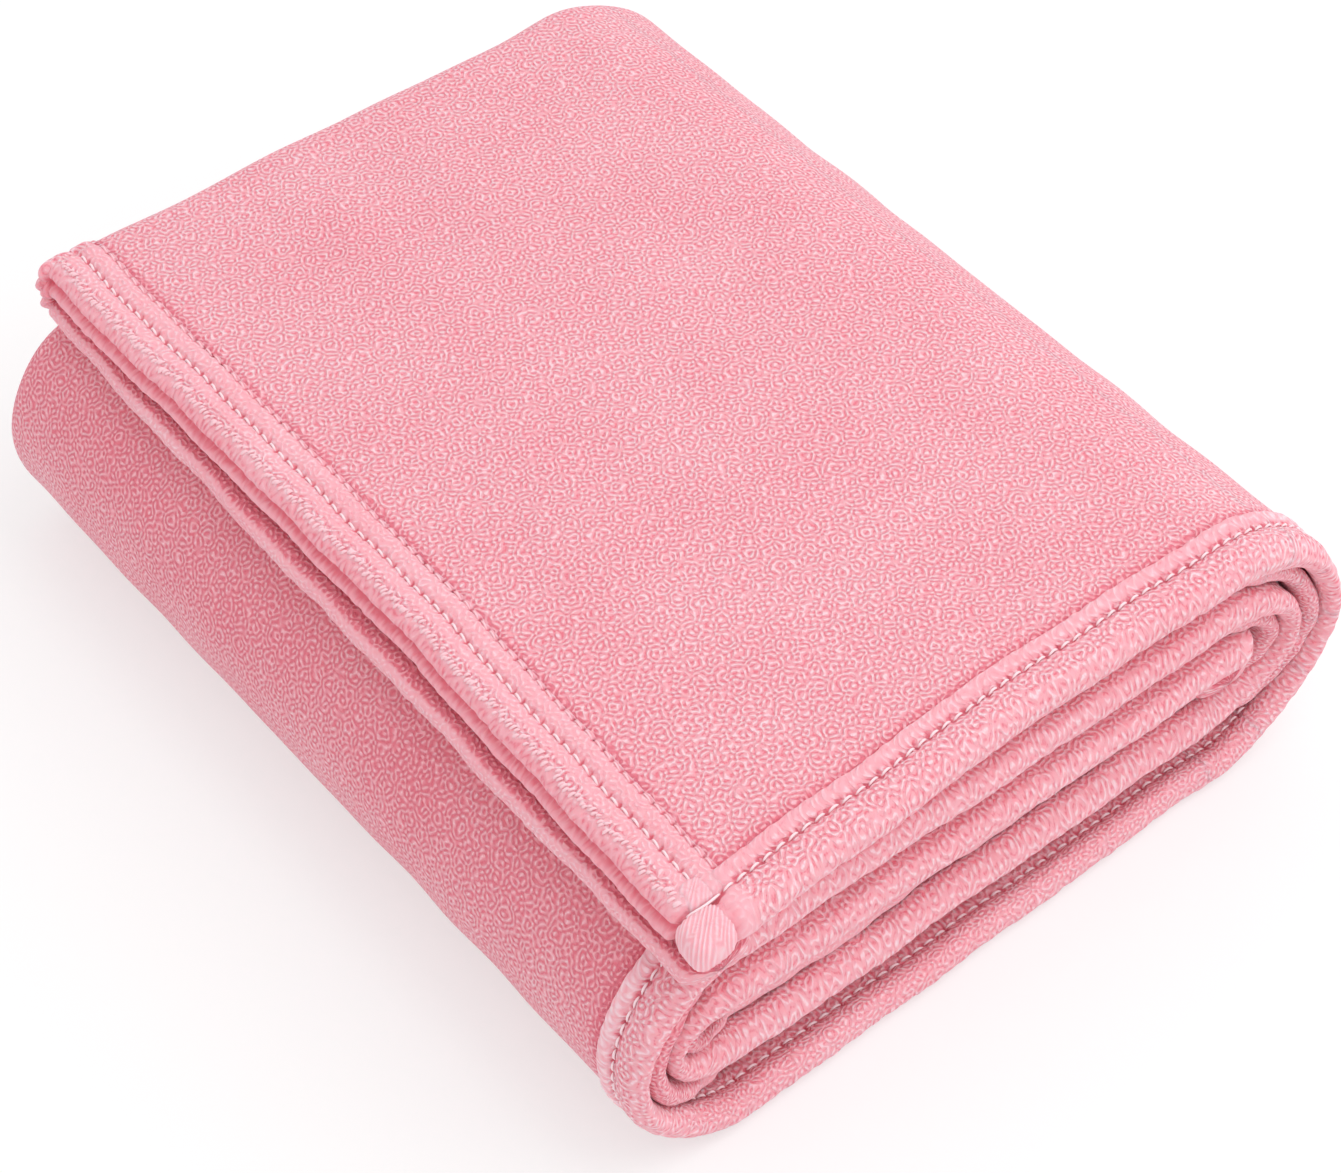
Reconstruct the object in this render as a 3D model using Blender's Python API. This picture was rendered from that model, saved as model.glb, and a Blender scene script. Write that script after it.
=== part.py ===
"""Folded fleece blanket: one hemmed cloth folded in three plies and rolled flat into five layers.

Metres, +Z up. +X runs across the layers, with the big fold on the right. +Y runs along the folds, with the
hemmed end at the front (-Y). The origin is on the floor, under the middle of the bundle.
"""

import math

import bmesh
import bpy

# Driving dimensions in metres
BUNDLE_WIDTH = 0.209  # left fold to right fold
BUNDLE_DEPTH = 0.258  # bottom layer's front hem to the flap's back fold
PLY = 0.0044  # one thickness of fleece as it lies
PLY_GAP = 0.0008  # air between two plies of one layer
LAYER_GAP = 0.0006  # air between two layers
FLAP_INSET = 0.0165  # left fold to the flap's free edge
CORE_CLEAR = 0.0010  # end of the innermost layer to the fold that wraps it
HEM_WIDTH = 0.0135  # hem along the front
END_HEM_WIDTH = 0.0155  # hem across an end
FRONT_ROLL = 0.0095  # thickness of the rolled front edge
END_ROLL = 0.0069  # thickness of the rolled end edge
SEAM_MARGIN = 0.0047  # row of stitches to the hem's inner edge
END_SEAM_MARGIN = 0.0061  # the same on an end hem
THREAD = 0.0009
GROOVE_WIDTH = 0.0026  # dent that the thread pulls into the pile
GROOVE_DEPTH = 0.0020
THREAD_SINK = 0.0005  # hem face to the middle of the thread
LIP_SETBACK = 0.0020  # rolled edge to the lip of the folded plies under it
SEAM_SHOWN = 0.0032  # cloth left bare behind the bottom layer's stitches, before its lip
TUCKED_SETBACK = 0.0040  # tucked ply's free edge to the back fold's inside
CORNER_ROUND = 0.0034
CORNER_SETBACK = 0.0030  # flap's front edge to the under ply's corner below the knob
CLEARANCE = 0.0003

# How far each layer's front edge lies behind the bottom layer's
FLAP_STEP = 0.0015
SECOND_STEP = 0.0045
FOURTH_STEP = 0.0045
THIRD_STEP = 0.0040
# How far the layers under the flap stay short of its back fold
BACK_STEP = 0.0025

# Shares and counts
FOLD_PINCH = 0.66  # share of the thickness left where a fold turns hardest
FOLD_SLICES = 5  # slices that the right fold opens by
ARC_STEPS = 8  # facets in a half turn of a fold
SLICE_STEPS = 4
BACK_STEPS = 8
FRONT_STEPS = 6
BORE_STEPS = 3
ROLL_STEPS = 10
THREAD_SIDES = 6
CORNER_STEPS = 3

# Sizes that follow
LAYER = 3 * PLY + 2 * PLY_GAP
PITCH = LAYER + LAYER_GAP
HEIGHT = 4 * PITCH + LAYER
FRONT = -BUNDLE_DEPTH / 2
BACK = BUNDLE_DEPTH / 2
SEAM_INSET = HEM_WIDTH - SEAM_MARGIN
INNER_SEAM_INSET = FRONT_ROLL + GROOVE_WIDTH / 2
END_SEAM_INSET = END_HEM_WIDTH - END_SEAM_MARGIN
RIDGE_ROW_INSET = END_HEM_WIDTH - GROOVE_WIDTH / 2
# The folded plies are pressed to the room that the rolled edge leaves them
LIP_DEPTH = FRONT_ROLL + CLEARANCE
LIP_RADIUS = (LAYER - LIP_DEPTH) / 2
PRESSED_PLY = LIP_RADIUS - PLY_GAP / 2
BOTTOM_LIP_SETBACK = INNER_SEAM_INSET + SEAM_SHOWN
OUTER_RIGHT_RADIUS = HEIGHT / 2
OUTER_LEFT_RADIUS = (3 * PITCH + LAYER) / 2
INNER_RIGHT_RADIUS = (2 * PITCH + LAYER) / 2
INNER_LEFT_RADIUS = (PITCH + LAYER) / 2
RIGHT_CENTRE = BUNDLE_WIDTH / 2 - OUTER_RIGHT_RADIUS
LEFT_CENTRE = -BUNDLE_WIDTH / 2 + OUTER_LEFT_RADIUS
FLAP_EDGE = -BUNDLE_WIDTH / 2 + FLAP_INSET
# The innermost end is two rolled edges, which meet the inside of its fold on the diagonal
CORE_ROOM = INNER_RIGHT_RADIUS - LAYER * (1 + FOLD_PINCH) / 2 - END_ROLL / 2
CORE_END = RIGHT_CENTRE + math.sqrt(2) * CORE_ROOM - LAYER / 2 + END_ROLL - CORE_CLEAR
CORNER_DEPTH = LAYER - END_ROLL - CLEARANCE
HALF_TURN = math.pi
QUARTER_TURN = math.pi / 2
SLICE_ANGLE = HALF_TURN / (FOLD_SLICES + 1)
UP = (0.0, 1.0)
DOWN = (0.0, -1.0)

# Front step, back step and lip setback of each layer
FLAP_EDGES = (FLAP_STEP, 0.0, LIP_SETBACK)
BOTTOM_EDGES = (0.0, BACK_STEP, BOTTOM_LIP_SETBACK)
SECOND_EDGES = (SECOND_STEP, BACK_STEP, LIP_SETBACK)
FOURTH_EDGES = (FOURTH_STEP, BACK_STEP, LIP_SETBACK)
THIRD_EDGES = (THIRD_STEP, BACK_STEP, LIP_SETBACK)

FLEECE_PINK = (0.93, 0.45, 0.51, 1.0)
HEM_PINK = (0.94, 0.49, 0.55, 1.0)
THREAD_PINK = (0.97, 0.75, 0.79, 1.0)
CLOTH_ROUGHNESS = 0.95


class Station:
    """One place along the cloth's outer face.

    inward points into the cloth, loft is the share of its thickness left, edges are the layer's edges there.
    """

    def __init__(self, x, z, inward, loft, edges):
        self.x = x
        self.z = z
        self.inward = inward
        self.loft = loft
        self.edges = edges
        self.front = FRONT + edges[0]
        self.back = BACK - edges[1]
        self.lip = self.front + edges[2]

    def moved(self, distance):
        """The same station moved along the cloth, square to its inward direction."""
        along = (self.inward[1], -self.inward[0])
        x = self.x - distance * along[0]
        z = self.z - distance * along[1]
        return Station(x, z, self.inward, self.loft, self.edges)

    def point(self, y, depth):
        """World point at y, depth below the outer face."""
        depth *= self.loft
        return (self.x + depth * self.inward[0], y, self.z + depth * self.inward[1])


def straight(start, end, z, inward, edges):
    """Stations of a flat layer between two x places, with its outer face at z."""
    return [Station(x, z, inward, 1.0, edges) for x in (start, end)]


def turn(centre_x, centre_z, radius, angles, steps, edges):
    """Stations round a fold, clockwise between two angles; the cloth is pinched where it turns hardest.

    edges gives the layer's edges at the fold's top and bottom, which blend along the turn.
    """
    stations = []
    for i in range(steps + 1):
        angle = angles[0] + (angles[1] - angles[0]) * i / steps
        share = (1.0 + math.sin(angle)) / 2
        loft = 1.0 - (1.0 - FOLD_PINCH) * math.cos(angle) ** 2
        blended = [low + (high - low) * share for high, low in zip(*edges)]
        x = centre_x + radius * math.cos(angle)
        z = centre_z + radius * math.sin(angle)
        inward = (-math.cos(angle), -math.sin(angle))
        stations.append(Station(x, z, inward, loft, blended))
    return stations


def trimmed(stations, start_gap=CLEARANCE / 2, end_gap=CLEARANCE / 2):
    """The stretch drawn back from its neighbours, so that two solids never touch."""
    return [stations[0].moved(start_gap), *stations[1:-1], stations[-1].moved(-end_gap)]


def arc(centre, radius, start, end, steps):
    """Points of a circular arc between two angles, both ends included."""
    points = []
    for i in range(steps + 1):
        angle = start + (end - start) * i / steps
        points.append((centre[0] + radius * math.cos(angle), centre[1] + radius * math.sin(angle)))
    return points


def plies_outline(station):
    """Outline of the three plies in y and depth: outer ply, back fold, under ply, front lip, tucked ply.

    The under and tucked plies are pressed at the lip and swell to their full loft behind the hem.
    """
    outer_front = station.front + HEM_WIDTH + CLEARANCE
    back_centre = (station.back - LAYER / 2, LAYER / 2)
    lip_centre = (station.lip + LIP_RADIUS, LAYER - LIP_RADIUS)
    pressed = max(station.front + FRONT_ROLL, lip_centre[0] + CLEARANCE)
    swollen = pressed + HEM_WIDTH - FRONT_ROLL
    tucked_end = back_centre[0] - TUCKED_SETBACK
    tucked_top = PLY + PLY_GAP
    outline = [(outer_front, 0.0)]
    outline += arc(back_centre, LAYER / 2, -QUARTER_TURN, QUARTER_TURN, BACK_STEPS)
    outline += arc(lip_centre, LIP_RADIUS, QUARTER_TURN, 3 * QUARTER_TURN, FRONT_STEPS)
    outline += [(pressed, LIP_DEPTH), (swollen, tucked_top), (tucked_end, tucked_top)]
    outline += [(tucked_end, tucked_top + PLY), (swollen, tucked_top + PLY)]
    outline += [(pressed, LIP_DEPTH + PRESSED_PLY)]
    outline += arc(lip_centre, PLY_GAP / 2, 3 * QUARTER_TURN, QUARTER_TURN, BORE_STEPS)
    outline += [(pressed, LAYER - PRESSED_PLY), (swollen, LAYER - PLY)]
    outline += arc(back_centre, LAYER / 2 - PLY, QUARTER_TURN, -QUARTER_TURN, BACK_STEPS)
    outline += [(outer_front, PLY)]
    return outline


def groove(place, face, into):
    """Three points of the dent that a row of stitches pulls into a face, from back to front."""
    half = GROOVE_WIDTH / 2
    return [(place + half, face), (place, face + into * GROOVE_DEPTH), (place - half, face)]


def hem_outline(edge, width, roll, rows=(), inner_rows=()):
    """Outline of a turned hem across its width: a rolled edge, a flat band, a dent for each stitch row."""
    radius = roll / 2
    outline = [(edge + width, 0.0)]
    for row in sorted(rows, reverse=True):
        outline += groove(edge + row, 0.0, 1.0)
    middle = (edge + radius, radius)
    roll_end = -math.asin((radius - PLY) / radius)
    outline += arc(middle, radius, 3 * QUARTER_TURN, QUARTER_TURN, ROLL_STEPS)
    outline += arc(middle, radius, QUARTER_TURN, roll_end, ROLL_STEPS // 2)[1:]
    for row in sorted(inner_rows):
        outline += reversed(groove(edge + row, PLY, -1.0))
    outline += [(edge + width, PLY)]
    return outline


def thread_outline(place, middle):
    """Outline of a sewing thread that runs along a hem at this place and depth."""
    return arc((place, middle), THREAD / 2, 0.0, 2 * math.pi, THREAD_SIDES)[:-1]


def material(name, colour):
    made = bpy.data.materials.new(name)
    made.use_nodes = True
    shader = made.node_tree.nodes["Principled BSDF"]
    shader.inputs["Base Color"].default_value = colour
    shader.inputs["Roughness"].default_value = CLOTH_ROUGHNESS
    shader.inputs["Metallic"].default_value = 0.0
    return made


def solid(name, rings, finish, carrier):
    """One closed solid through a row of rings, with its origin on the carrier's axis."""
    shape = bmesh.new()
    origin = carrier.matrix_world.translation
    rows = []
    for ring in rings:
        rows.append([shape.verts.new([p - o for p, o in zip(point, origin)]) for point in ring])
    count = len(rows[0])
    for row, following in zip(rows, rows[1:]):
        for i in range(count):
            j = (i + 1) % count
            shape.faces.new((row[i], row[j], following[j], following[i]))
    shape.faces.new(rows[0][::-1])
    shape.faces.new(rows[-1])
    bmesh.ops.recalc_face_normals(shape, faces=shape.faces)
    mesh = bpy.data.meshes.new(name)
    shape.to_mesh(mesh)
    shape.free()
    mesh.shade_smooth()
    mesh.set_sharp_from_angle(angle=math.radians(50))
    mesh.materials.append(finish)
    made = bpy.data.objects.new(name, mesh)
    bpy.context.scene.collection.objects.link(made)
    made.parent = carrier
    return made


def empty(name, place, parent=None):
    """A marker on a joint's axis, carried by the one before it."""
    made = bpy.data.objects.new(name, None)
    bpy.context.scene.collection.objects.link(made)
    made.parent = parent
    origin = (0.0, 0.0, 0.0) if parent is None else parent.matrix_world.translation
    made.location = [a - b for a, b in zip(place, origin)]
    bpy.context.view_layer.update()
    return made


def fleece(name, stations, carrier):
    """The three plies along one stretch of the roll."""
    rings = [[s.point(*p) for p in plies_outline(s)] for s in stations]
    return solid(f"{name}_fleece", rings, FINISH["fleece"], carrier)


def front_hem(name, stations, carrier, inside=False):
    """The rolled front edge along one stretch, with its thread on the outer face or, if inside, the other."""
    rows = () if inside else (SEAM_INSET,)
    inner_rows = (INNER_SEAM_INSET,) if inside else ()
    row = INNER_SEAM_INSET if inside else SEAM_INSET
    middle = PLY - THREAD_SINK if inside else THREAD_SINK
    hem = []
    thread = []
    for s in stations:
        outline = hem_outline(s.front, HEM_WIDTH, FRONT_ROLL, rows, inner_rows)
        hem.append([s.point(*p) for p in outline])
        thread.append([s.point(*p) for p in thread_outline(s.front + row, middle)])
    solid(f"{name}_hem", hem, FINISH["hem"], carrier)
    solid(f"{name}_thread", thread, FINISH["thread"], carrier)


def stretch(name, stations, carrier, inside=False):
    """One stretch of the roll: its plies, its front hem and that hem's thread."""
    fleece(name, stations, carrier)
    front_hem(name, stations, carrier, inside)


def end_route(front_outer, front_under, back, top):
    """Places round a layer's end edge in y and z, with the inward way: outer ply, back fold, under ply."""
    route = [(front_outer, top, DOWN)]
    centre = (back - LAYER / 2, top - LAYER / 2)
    for i in range(BACK_STEPS + 1):
        angle = QUARTER_TURN - HALF_TURN * i / BACK_STEPS
        y = centre[0] + LAYER / 2 * math.cos(angle)
        z = centre[1] + LAYER / 2 * math.sin(angle)
        route.append((y, z, (-math.cos(angle), -math.sin(angle))))
    route.append((front_under, top - LAYER, UP))
    return route


def end_ring(place, outline, side):
    """One ring of an end hem: across-the-hem places lie along x, on the side that the edge faces."""
    y, z, inward = place
    return [(side * across, y + depth * inward[0], z + depth * inward[1]) for across, depth in outline]


def end_hem(name, edge, side, edges, top, rows, carrier):
    """The rolled hem across a layer's end, going round its back fold, with its rows of thread and its corner.

    side is 1 where the edge faces -X and -1 where it faces +X.
    """
    front = FRONT + edges[0]
    back = BACK - edges[1]
    hem_front = front + HEM_WIDTH + CLEARANCE
    under_front = front + CORNER_SETBACK
    route = end_route(hem_front, under_front, back, top)
    outline = hem_outline(side * edge, END_HEM_WIDTH, END_ROLL, rows)
    solid(f"{name}_end_hem", [end_ring(p, outline, side) for p in route], FINISH["hem"], carrier)
    for number, row in enumerate(rows, start=1):
        ring = thread_outline(side * edge + row, THREAD_SINK)
        thread = [end_ring(p, ring, side) for p in route[:2]]
        solid(f"{name}_end_thread_{number}", thread, FINISH["thread"], carrier)
    corner(name, edge, side, front, top, carrier)


def corner(name, edge, side, front, top, carrier):
    """The knob where two rolled hems cross, a pad rounded on every edge."""
    upper = arc((CORNER_ROUND, CORNER_ROUND), CORNER_ROUND, -QUARTER_TURN, -HALF_TURN, CORNER_STEPS)
    levels = [(depth, inset) for inset, depth in upper]
    levels += [(CORNER_DEPTH - depth, inset) for depth, inset in reversed(levels)]
    middle_x = edge + side * END_HEM_WIDTH / 2
    middle_y = front + HEM_WIDTH / 2
    reach_x = END_HEM_WIDTH / 2 - CORNER_ROUND
    reach_y = HEM_WIDTH / 2 - CORNER_ROUND
    rings = []
    for depth, inset in levels:
        bend = CORNER_ROUND - inset
        ring = []
        for quarter, (sign_x, sign_y) in enumerate(((1, 1), (-1, 1), (-1, -1), (1, -1))):
            centre = (middle_x + sign_x * reach_x, middle_y + sign_y * reach_y)
            start = quarter * QUARTER_TURN
            ring += arc(centre, bend, start, start + QUARTER_TURN, CORNER_STEPS)
        rings.append([(x, y, top - depth) for x, y in ring])
    solid(f"{name}_corner", rings, FINISH["hem"], carrier)


def build_roll(base):
    """The layers and folds that stay put, from the bottom layer inward to the third."""
    left_turn = (-QUARTER_TURN, -3 * QUARTER_TURN)
    right_turn = (QUARTER_TURN, -QUARTER_TURN)
    inner_z = PITCH + INNER_RIGHT_RADIUS
    core_z = PITCH + INNER_LEFT_RADIUS
    second_top = HEIGHT - PITCH
    third_top = 2 * PITCH + LAYER
    core_edge = CORE_END - END_HEM_WIDTH - CLEARANCE

    stub = outer_right_turn(-QUARTER_TURN + SLICE_ANGLE / 2, -QUARTER_TURN)
    bottom = stub + straight(RIGHT_CENTRE, LEFT_CENTRE, 0.0, UP, BOTTOM_EDGES)[1:]
    stretch("bottom", trimmed(bottom), base, inside=True)
    left = turn(LEFT_CENTRE, OUTER_LEFT_RADIUS, OUTER_LEFT_RADIUS, left_turn, ARC_STEPS,
                (SECOND_EDGES, BOTTOM_EDGES))
    stretch("left_fold", trimmed(left), base)
    second = straight(LEFT_CENTRE, RIGHT_CENTRE, second_top, DOWN, SECOND_EDGES)
    stretch("second", trimmed(second), base)
    inner_right = turn(RIGHT_CENTRE, inner_z, INNER_RIGHT_RADIUS, right_turn, ARC_STEPS,
                       (SECOND_EDGES, FOURTH_EDGES))
    stretch("inner_right_fold", trimmed(inner_right), base)
    fourth = straight(RIGHT_CENTRE, LEFT_CENTRE, PITCH, UP, FOURTH_EDGES)
    stretch("fourth", trimmed(fourth), base)
    inner_left = turn(LEFT_CENTRE, core_z, INNER_LEFT_RADIUS, left_turn, ARC_STEPS,
                      (THIRD_EDGES, FOURTH_EDGES))
    stretch("inner_left_fold", trimmed(inner_left), base)
    third = straight(LEFT_CENTRE, core_edge, third_top, DOWN, THIRD_EDGES)
    stretch("third", trimmed(third, end_gap=0.0), base)
    end_hem("third", CORE_END, -1, THIRD_EDGES, third_top, (END_SEAM_INSET,), base)


def outer_right_turn(start, end):
    """Stations of the big right fold between two angles, from the flap round to the bottom layer."""
    return turn(RIGHT_CENTRE, HEIGHT / 2, OUTER_RIGHT_RADIUS, (start, end), SLICE_STEPS,
                (FLAP_EDGES, BOTTOM_EDGES))


def build_right_fold(base):
    """The slices that the right fold opens by, each turning on the outer face of the one before it."""
    carrier = base
    for number in range(1, FOLD_SLICES + 1):
        low = -QUARTER_TURN + SLICE_ANGLE * (number - 0.5)
        carrier = empty(f"fold_axis_{number}", fold_point(low), carrier)
        stretch(f"right_fold_{number}", trimmed(outer_right_turn(low + SLICE_ANGLE, low)), carrier)
    return carrier


def fold_point(angle):
    """A place on the right fold's outer face, where a slice hinges."""
    x = RIGHT_CENTRE + OUTER_RIGHT_RADIUS * math.cos(angle)
    return (x, 0.0, HEIGHT / 2 + OUTER_RIGHT_RADIUS * math.sin(angle))


def build_flap(last_slice):
    """The flap on top: its plies, two hems, their thread and the corner where they cross."""
    cut = QUARTER_TURN - SLICE_ANGLE / 2
    carrier = empty("flap_axis", fold_point(cut), last_slice)
    start = FLAP_EDGE + END_HEM_WIDTH + CLEARANCE
    flat = straight(start, RIGHT_CENTRE, HEIGHT, DOWN, FLAP_EDGES)
    stub = outer_right_turn(QUARTER_TURN, cut)
    stretch("flap", trimmed(flat[:1] + stub, start_gap=0.0), carrier)
    end_hem("flap", FLAP_EDGE, 1, FLAP_EDGES, HEIGHT, (END_SEAM_INSET, RIDGE_ROW_INSET), carrier)


for leftover in list(bpy.data.objects):
    bpy.data.objects.remove(leftover)
FINISH = {
    "fleece": material("fleece", FLEECE_PINK),
    "hem": material("hem", HEM_PINK),
    "thread": material("thread", THREAD_PINK),
}
BASE = empty("base", (0.0, 0.0, 0.0))
build_roll(BASE)
build_flap(build_right_fold(BASE))
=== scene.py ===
# %% [markdown]
# # A folded fleece blanket
# This lesson dresses the plain solids of a folded blanket. The real thing is one pink fleece cloth with a
# rolled hem. It is folded in three, then rolled flat into five layers, so that a flap lies on top. The solids
# give the sizes and the places. Everything that the eye sees, the curled pile, the fat hems, the stitches and
# the pleated corner, is a surface worked out here with numpy and laid over them.

# %% Load the frame
import math

import bpy
import numpy as np
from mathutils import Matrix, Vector


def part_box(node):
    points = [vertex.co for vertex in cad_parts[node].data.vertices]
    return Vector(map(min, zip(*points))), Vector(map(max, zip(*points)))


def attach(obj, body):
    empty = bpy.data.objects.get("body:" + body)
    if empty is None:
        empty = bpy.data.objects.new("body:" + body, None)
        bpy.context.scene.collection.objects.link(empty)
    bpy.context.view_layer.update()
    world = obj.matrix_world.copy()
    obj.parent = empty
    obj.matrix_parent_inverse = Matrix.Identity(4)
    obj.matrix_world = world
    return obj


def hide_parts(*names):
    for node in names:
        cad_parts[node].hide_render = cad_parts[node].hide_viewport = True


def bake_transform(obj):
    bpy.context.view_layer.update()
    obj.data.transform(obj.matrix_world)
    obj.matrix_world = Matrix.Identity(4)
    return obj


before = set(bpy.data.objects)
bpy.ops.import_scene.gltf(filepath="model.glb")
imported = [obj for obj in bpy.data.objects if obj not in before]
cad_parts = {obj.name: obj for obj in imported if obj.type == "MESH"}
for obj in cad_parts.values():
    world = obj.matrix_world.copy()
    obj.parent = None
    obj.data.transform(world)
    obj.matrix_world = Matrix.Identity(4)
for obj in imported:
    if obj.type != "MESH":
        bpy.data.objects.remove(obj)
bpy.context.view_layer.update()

# %% [markdown]
# ## Sizes
# The frame already knows how wide, deep and high the bundle is, so nothing is typed twice: each size is read
# from the box of a solid. Only what the solids are too plain to say, such as the length of a stitch, is named
# here as a value of its own.

# %% Sizes that the frame gives
X, Y, Z = 0, 1, 2
MM = 0.001
CUT_GAP = 0.3 * MM  # the solids of two neighbouring stretches keep this apart


def span(node, axis):
    """Lowest and highest place of a solid along one axis."""
    low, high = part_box(node)
    return low[axis], high[axis]


def size(node, axis):
    """How long a solid is along one axis."""
    low, high = span(node, axis)
    return high - low


TOP = span("flap_fleece", Z)[1]
LAYER = size("second_fleece", Z)
PITCH = TOP - span("second_fleece", Z)[1]
LEFT_X = span("second_fleece", X)[0] - CUT_GAP / 2
RIGHT_X = span("second_fleece", X)[1] + CUT_GAP / 2
FLAP_EDGE = span("flap_end_hem", X)[0]
CORE_REACH = 5.5 * MM  # the core's end lies this far beyond its solid, snug in the fold round it
CORE_EDGE = span("third_end_hem", X)[1] + CORE_REACH
HEM_WIDTH = size("second_hem", Y)
FRONT_ROLL = size("second_hem", Z)
LAYERS = ("flap", "bottom", "second", "fourth", "third")
END_HEM_WIDTH = size("flap_end_hem", X)
FRONTS = {name: span(f"{name}_hem", Y)[0] for name in LAYERS}
BACKS = {name: span(f"{name}_fleece", Y)[1] for name in LAYERS}
print(f"layer {LAYER / MM:.1f} mm, pitch {PITCH / MM:.1f} mm")
print(f"hem {HEM_WIDTH / MM:.1f} mm, top {TOP / MM:.1f} mm")

# %% Sizes of the cloth and the sewing
PLY = 4.4 * MM  # one thickness of fleece
PLY_GAP = 0.8 * MM
FOLD_PINCH = 0.66  # share of the thickness left where a fold turns hardest
SLICE_ANGLE = 30.0  # degrees of the right fold that each hinged slice takes
SEAM = sum(span("second_thread", Y)) / 2 - FRONTS["second"]  # hem's edge to its row of stitches
BOTTOM_SKEW = 3.0 * MM  # the bottom's front edge lies back by this towards the right fold
SEAM_FORWARD = 0.6 * MM  # where the seam faces in, the roll pushes it forward by this
SEAM_EASE = 0.6 * MM  # and by this more at the right, where the edge lies back
INNER_SEAM = sum(span("bottom_thread", Y)) / 2 - FRONTS["bottom"] - BOTTOM_SKEW - SEAM_FORWARD
ROLL_AT_FOLD = 6.6 * MM  # the roll is flatter beside a fold, where the plies under it are fuller
LIP_SETBACK = 5.0 * MM  # hem's edge to the lip of the two plies under it
LIP_AT_FOLD = 1.2 * MM  # the same beside a fold, where the lip comes forward
LIP_AT_BOTTOM = 11.0 * MM  # and on the bottom layer, where the seam shows
STITCH_PITCH = 3.5 * MM
STITCH_LENGTH = 2.8 * MM
THREAD = 0.64 * MM
SOFT_THREAD = 0.5 * MM  # the end hem's inner row
CURL = 1.4 * MM  # one curl of the pile to the next
HEM_CURL = 1.06  # the curls on a hem are larger by this
print(f"stitches every {STITCH_PITCH / MM:.1f} mm, curls every {CURL / MM:.1f} mm")

# %% [markdown]
# ## The route of the cloth
# Seen from the front, the blanket is one long strip that winds into a flat spiral: along the flap, round the
# big right fold, back along the bottom, round the left fold, and so on to the core. Each stretch is either a
# straight run or half a circle, so the whole route is a few arrays laid end to end. The distance along it is
# the first parameter of every surface below, and the cloth's pattern never breaks at a fold.

# %% Straight runs and half circles
RUN_STEP = 0.5 * MM
TURN_STEP = 0.5  # degrees


def smooth(t):
    """A share that leaves 0 and reaches 1 gently: 3 t squared less 2 t cubed, with t held between 0 and 1."""
    t = np.clip(t, 0.0, 1.0)
    return t * t * (3.0 - 2.0 * t)


def flat_run(layer, start, end, z, inward_z, proud, inside=0.0, lip=LIP_SETBACK):
    """Stations along a flat layer.

    proud is how far its hem may stand up, and inside is 1 if the seam faces in.
    """
    count = int(abs(end - start) / RUN_STEP) + 2
    x = np.linspace(start, end, count)
    level = np.ones(count)
    return {
        "x": x, "z": z * level, "ix": 0.0 * level, "iz": inward_z * level, "loft": level,
        "front": FRONTS[layer] * level, "back": BACKS[layer] * level, "lip": lip * level,
        "proud": proud * level, "inside": inside * level, "roll": FRONT_ROLL * level,
    }


def fold_run(centre_x, centre_z, radius, angles, layers, proud, inside, lips, roll=FRONT_ROLL, reach=0.0):
    """Stations round a fold: x and z follow a circle drawn out sideways by reach, inward faces its middle.

    layers are the ones above and below the fold, and its edges pass from one to the other with the height.
    proud and inside are functions of that height, 0 at the bottom and 1 at the top. lips are the setbacks
    above, beside and below the fold, and roll is the thickness of the rolled edge beside it.
    """
    count = int(abs(angles[1] - angles[0]) / TURN_STEP) + 1
    angle = np.radians(np.linspace(*angles, count))
    cos, sin = np.cos(angle), np.sin(angle)
    height = (1.0 + sin) / 2.0
    upper, lower = layers
    lip = lips[2] + (lips[0] - lips[2]) * height
    return {
        "x": centre_x + (radius + reach) * cos, "z": centre_z + radius * sin, "ix": -cos, "iz": -sin,
        "loft": 1.0 - (1.0 - FOLD_PINCH) * cos**2,
        "front": FRONTS[lower] + (FRONTS[upper] - FRONTS[lower]) * height,
        "back": BACKS[lower] + (BACKS[upper] - BACKS[lower]) * height,
        "lip": lip + (lips[1] - lip) * np.abs(cos),
        "proud": proud(height), "inside": inside(height),
        "roll": FRONT_ROLL + (roll - FRONT_ROLL) * cos**2,
    }


# %% Lay the stretches end to end
OUTER_LEFT = (3 * PITCH + LAYER) / 2
INNER_RIGHT = (2 * PITCH + LAYER) / 2
INNER_LEFT = (PITCH + LAYER) / 2
RIGHT_TURN = (90.0, -90.0)
LEFT_TURN = (-90.0, -270.0)
DOWN, UP = -1.0, 1.0
HIDDEN = 0.15  # share of a hem's height left where a layer presses on it
SNUG = 4.6 * MM  # an inner fold is drawn out by this, up to the fold that wraps it
CORE_DOME = 6.0 * MM  # the last of the core's front hem is its rounded end
HEM_OVERLAP = 2.4 * MM  # the flap's front hem runs on past the end hem's inner row by this, up to the corner
LIPS = (LIP_SETBACK, 2 * LIP_AT_FOLD, LIP_SETBACK)


def pressed(height):
    """A hem inside the roll, pressed flat all the way round."""
    return HIDDEN + 0.0 * height


def outward(height):
    """A seam that stays on the outer face."""
    return 0.0 * height


def turning_in(height):
    """A seam that passes to the inner face on the last part of the way down."""
    return 1.0 - smooth(height / 0.3)


def right_fold_rise(height):
    """A hem round the right fold: flat at the bottom, and fuller towards the flap."""
    return smooth(height / 0.2) * (0.45 + 0.4 * smooth((height - 0.6) / 0.4))


def left_fold_rise(height):
    """A hem round the left fold: flat at the bottom, full beside it, pressed again at the top."""
    return smooth(height / 0.2) * (HIDDEN + (1 - HIDDEN) * smooth((1 - height) / 0.2))


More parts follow.
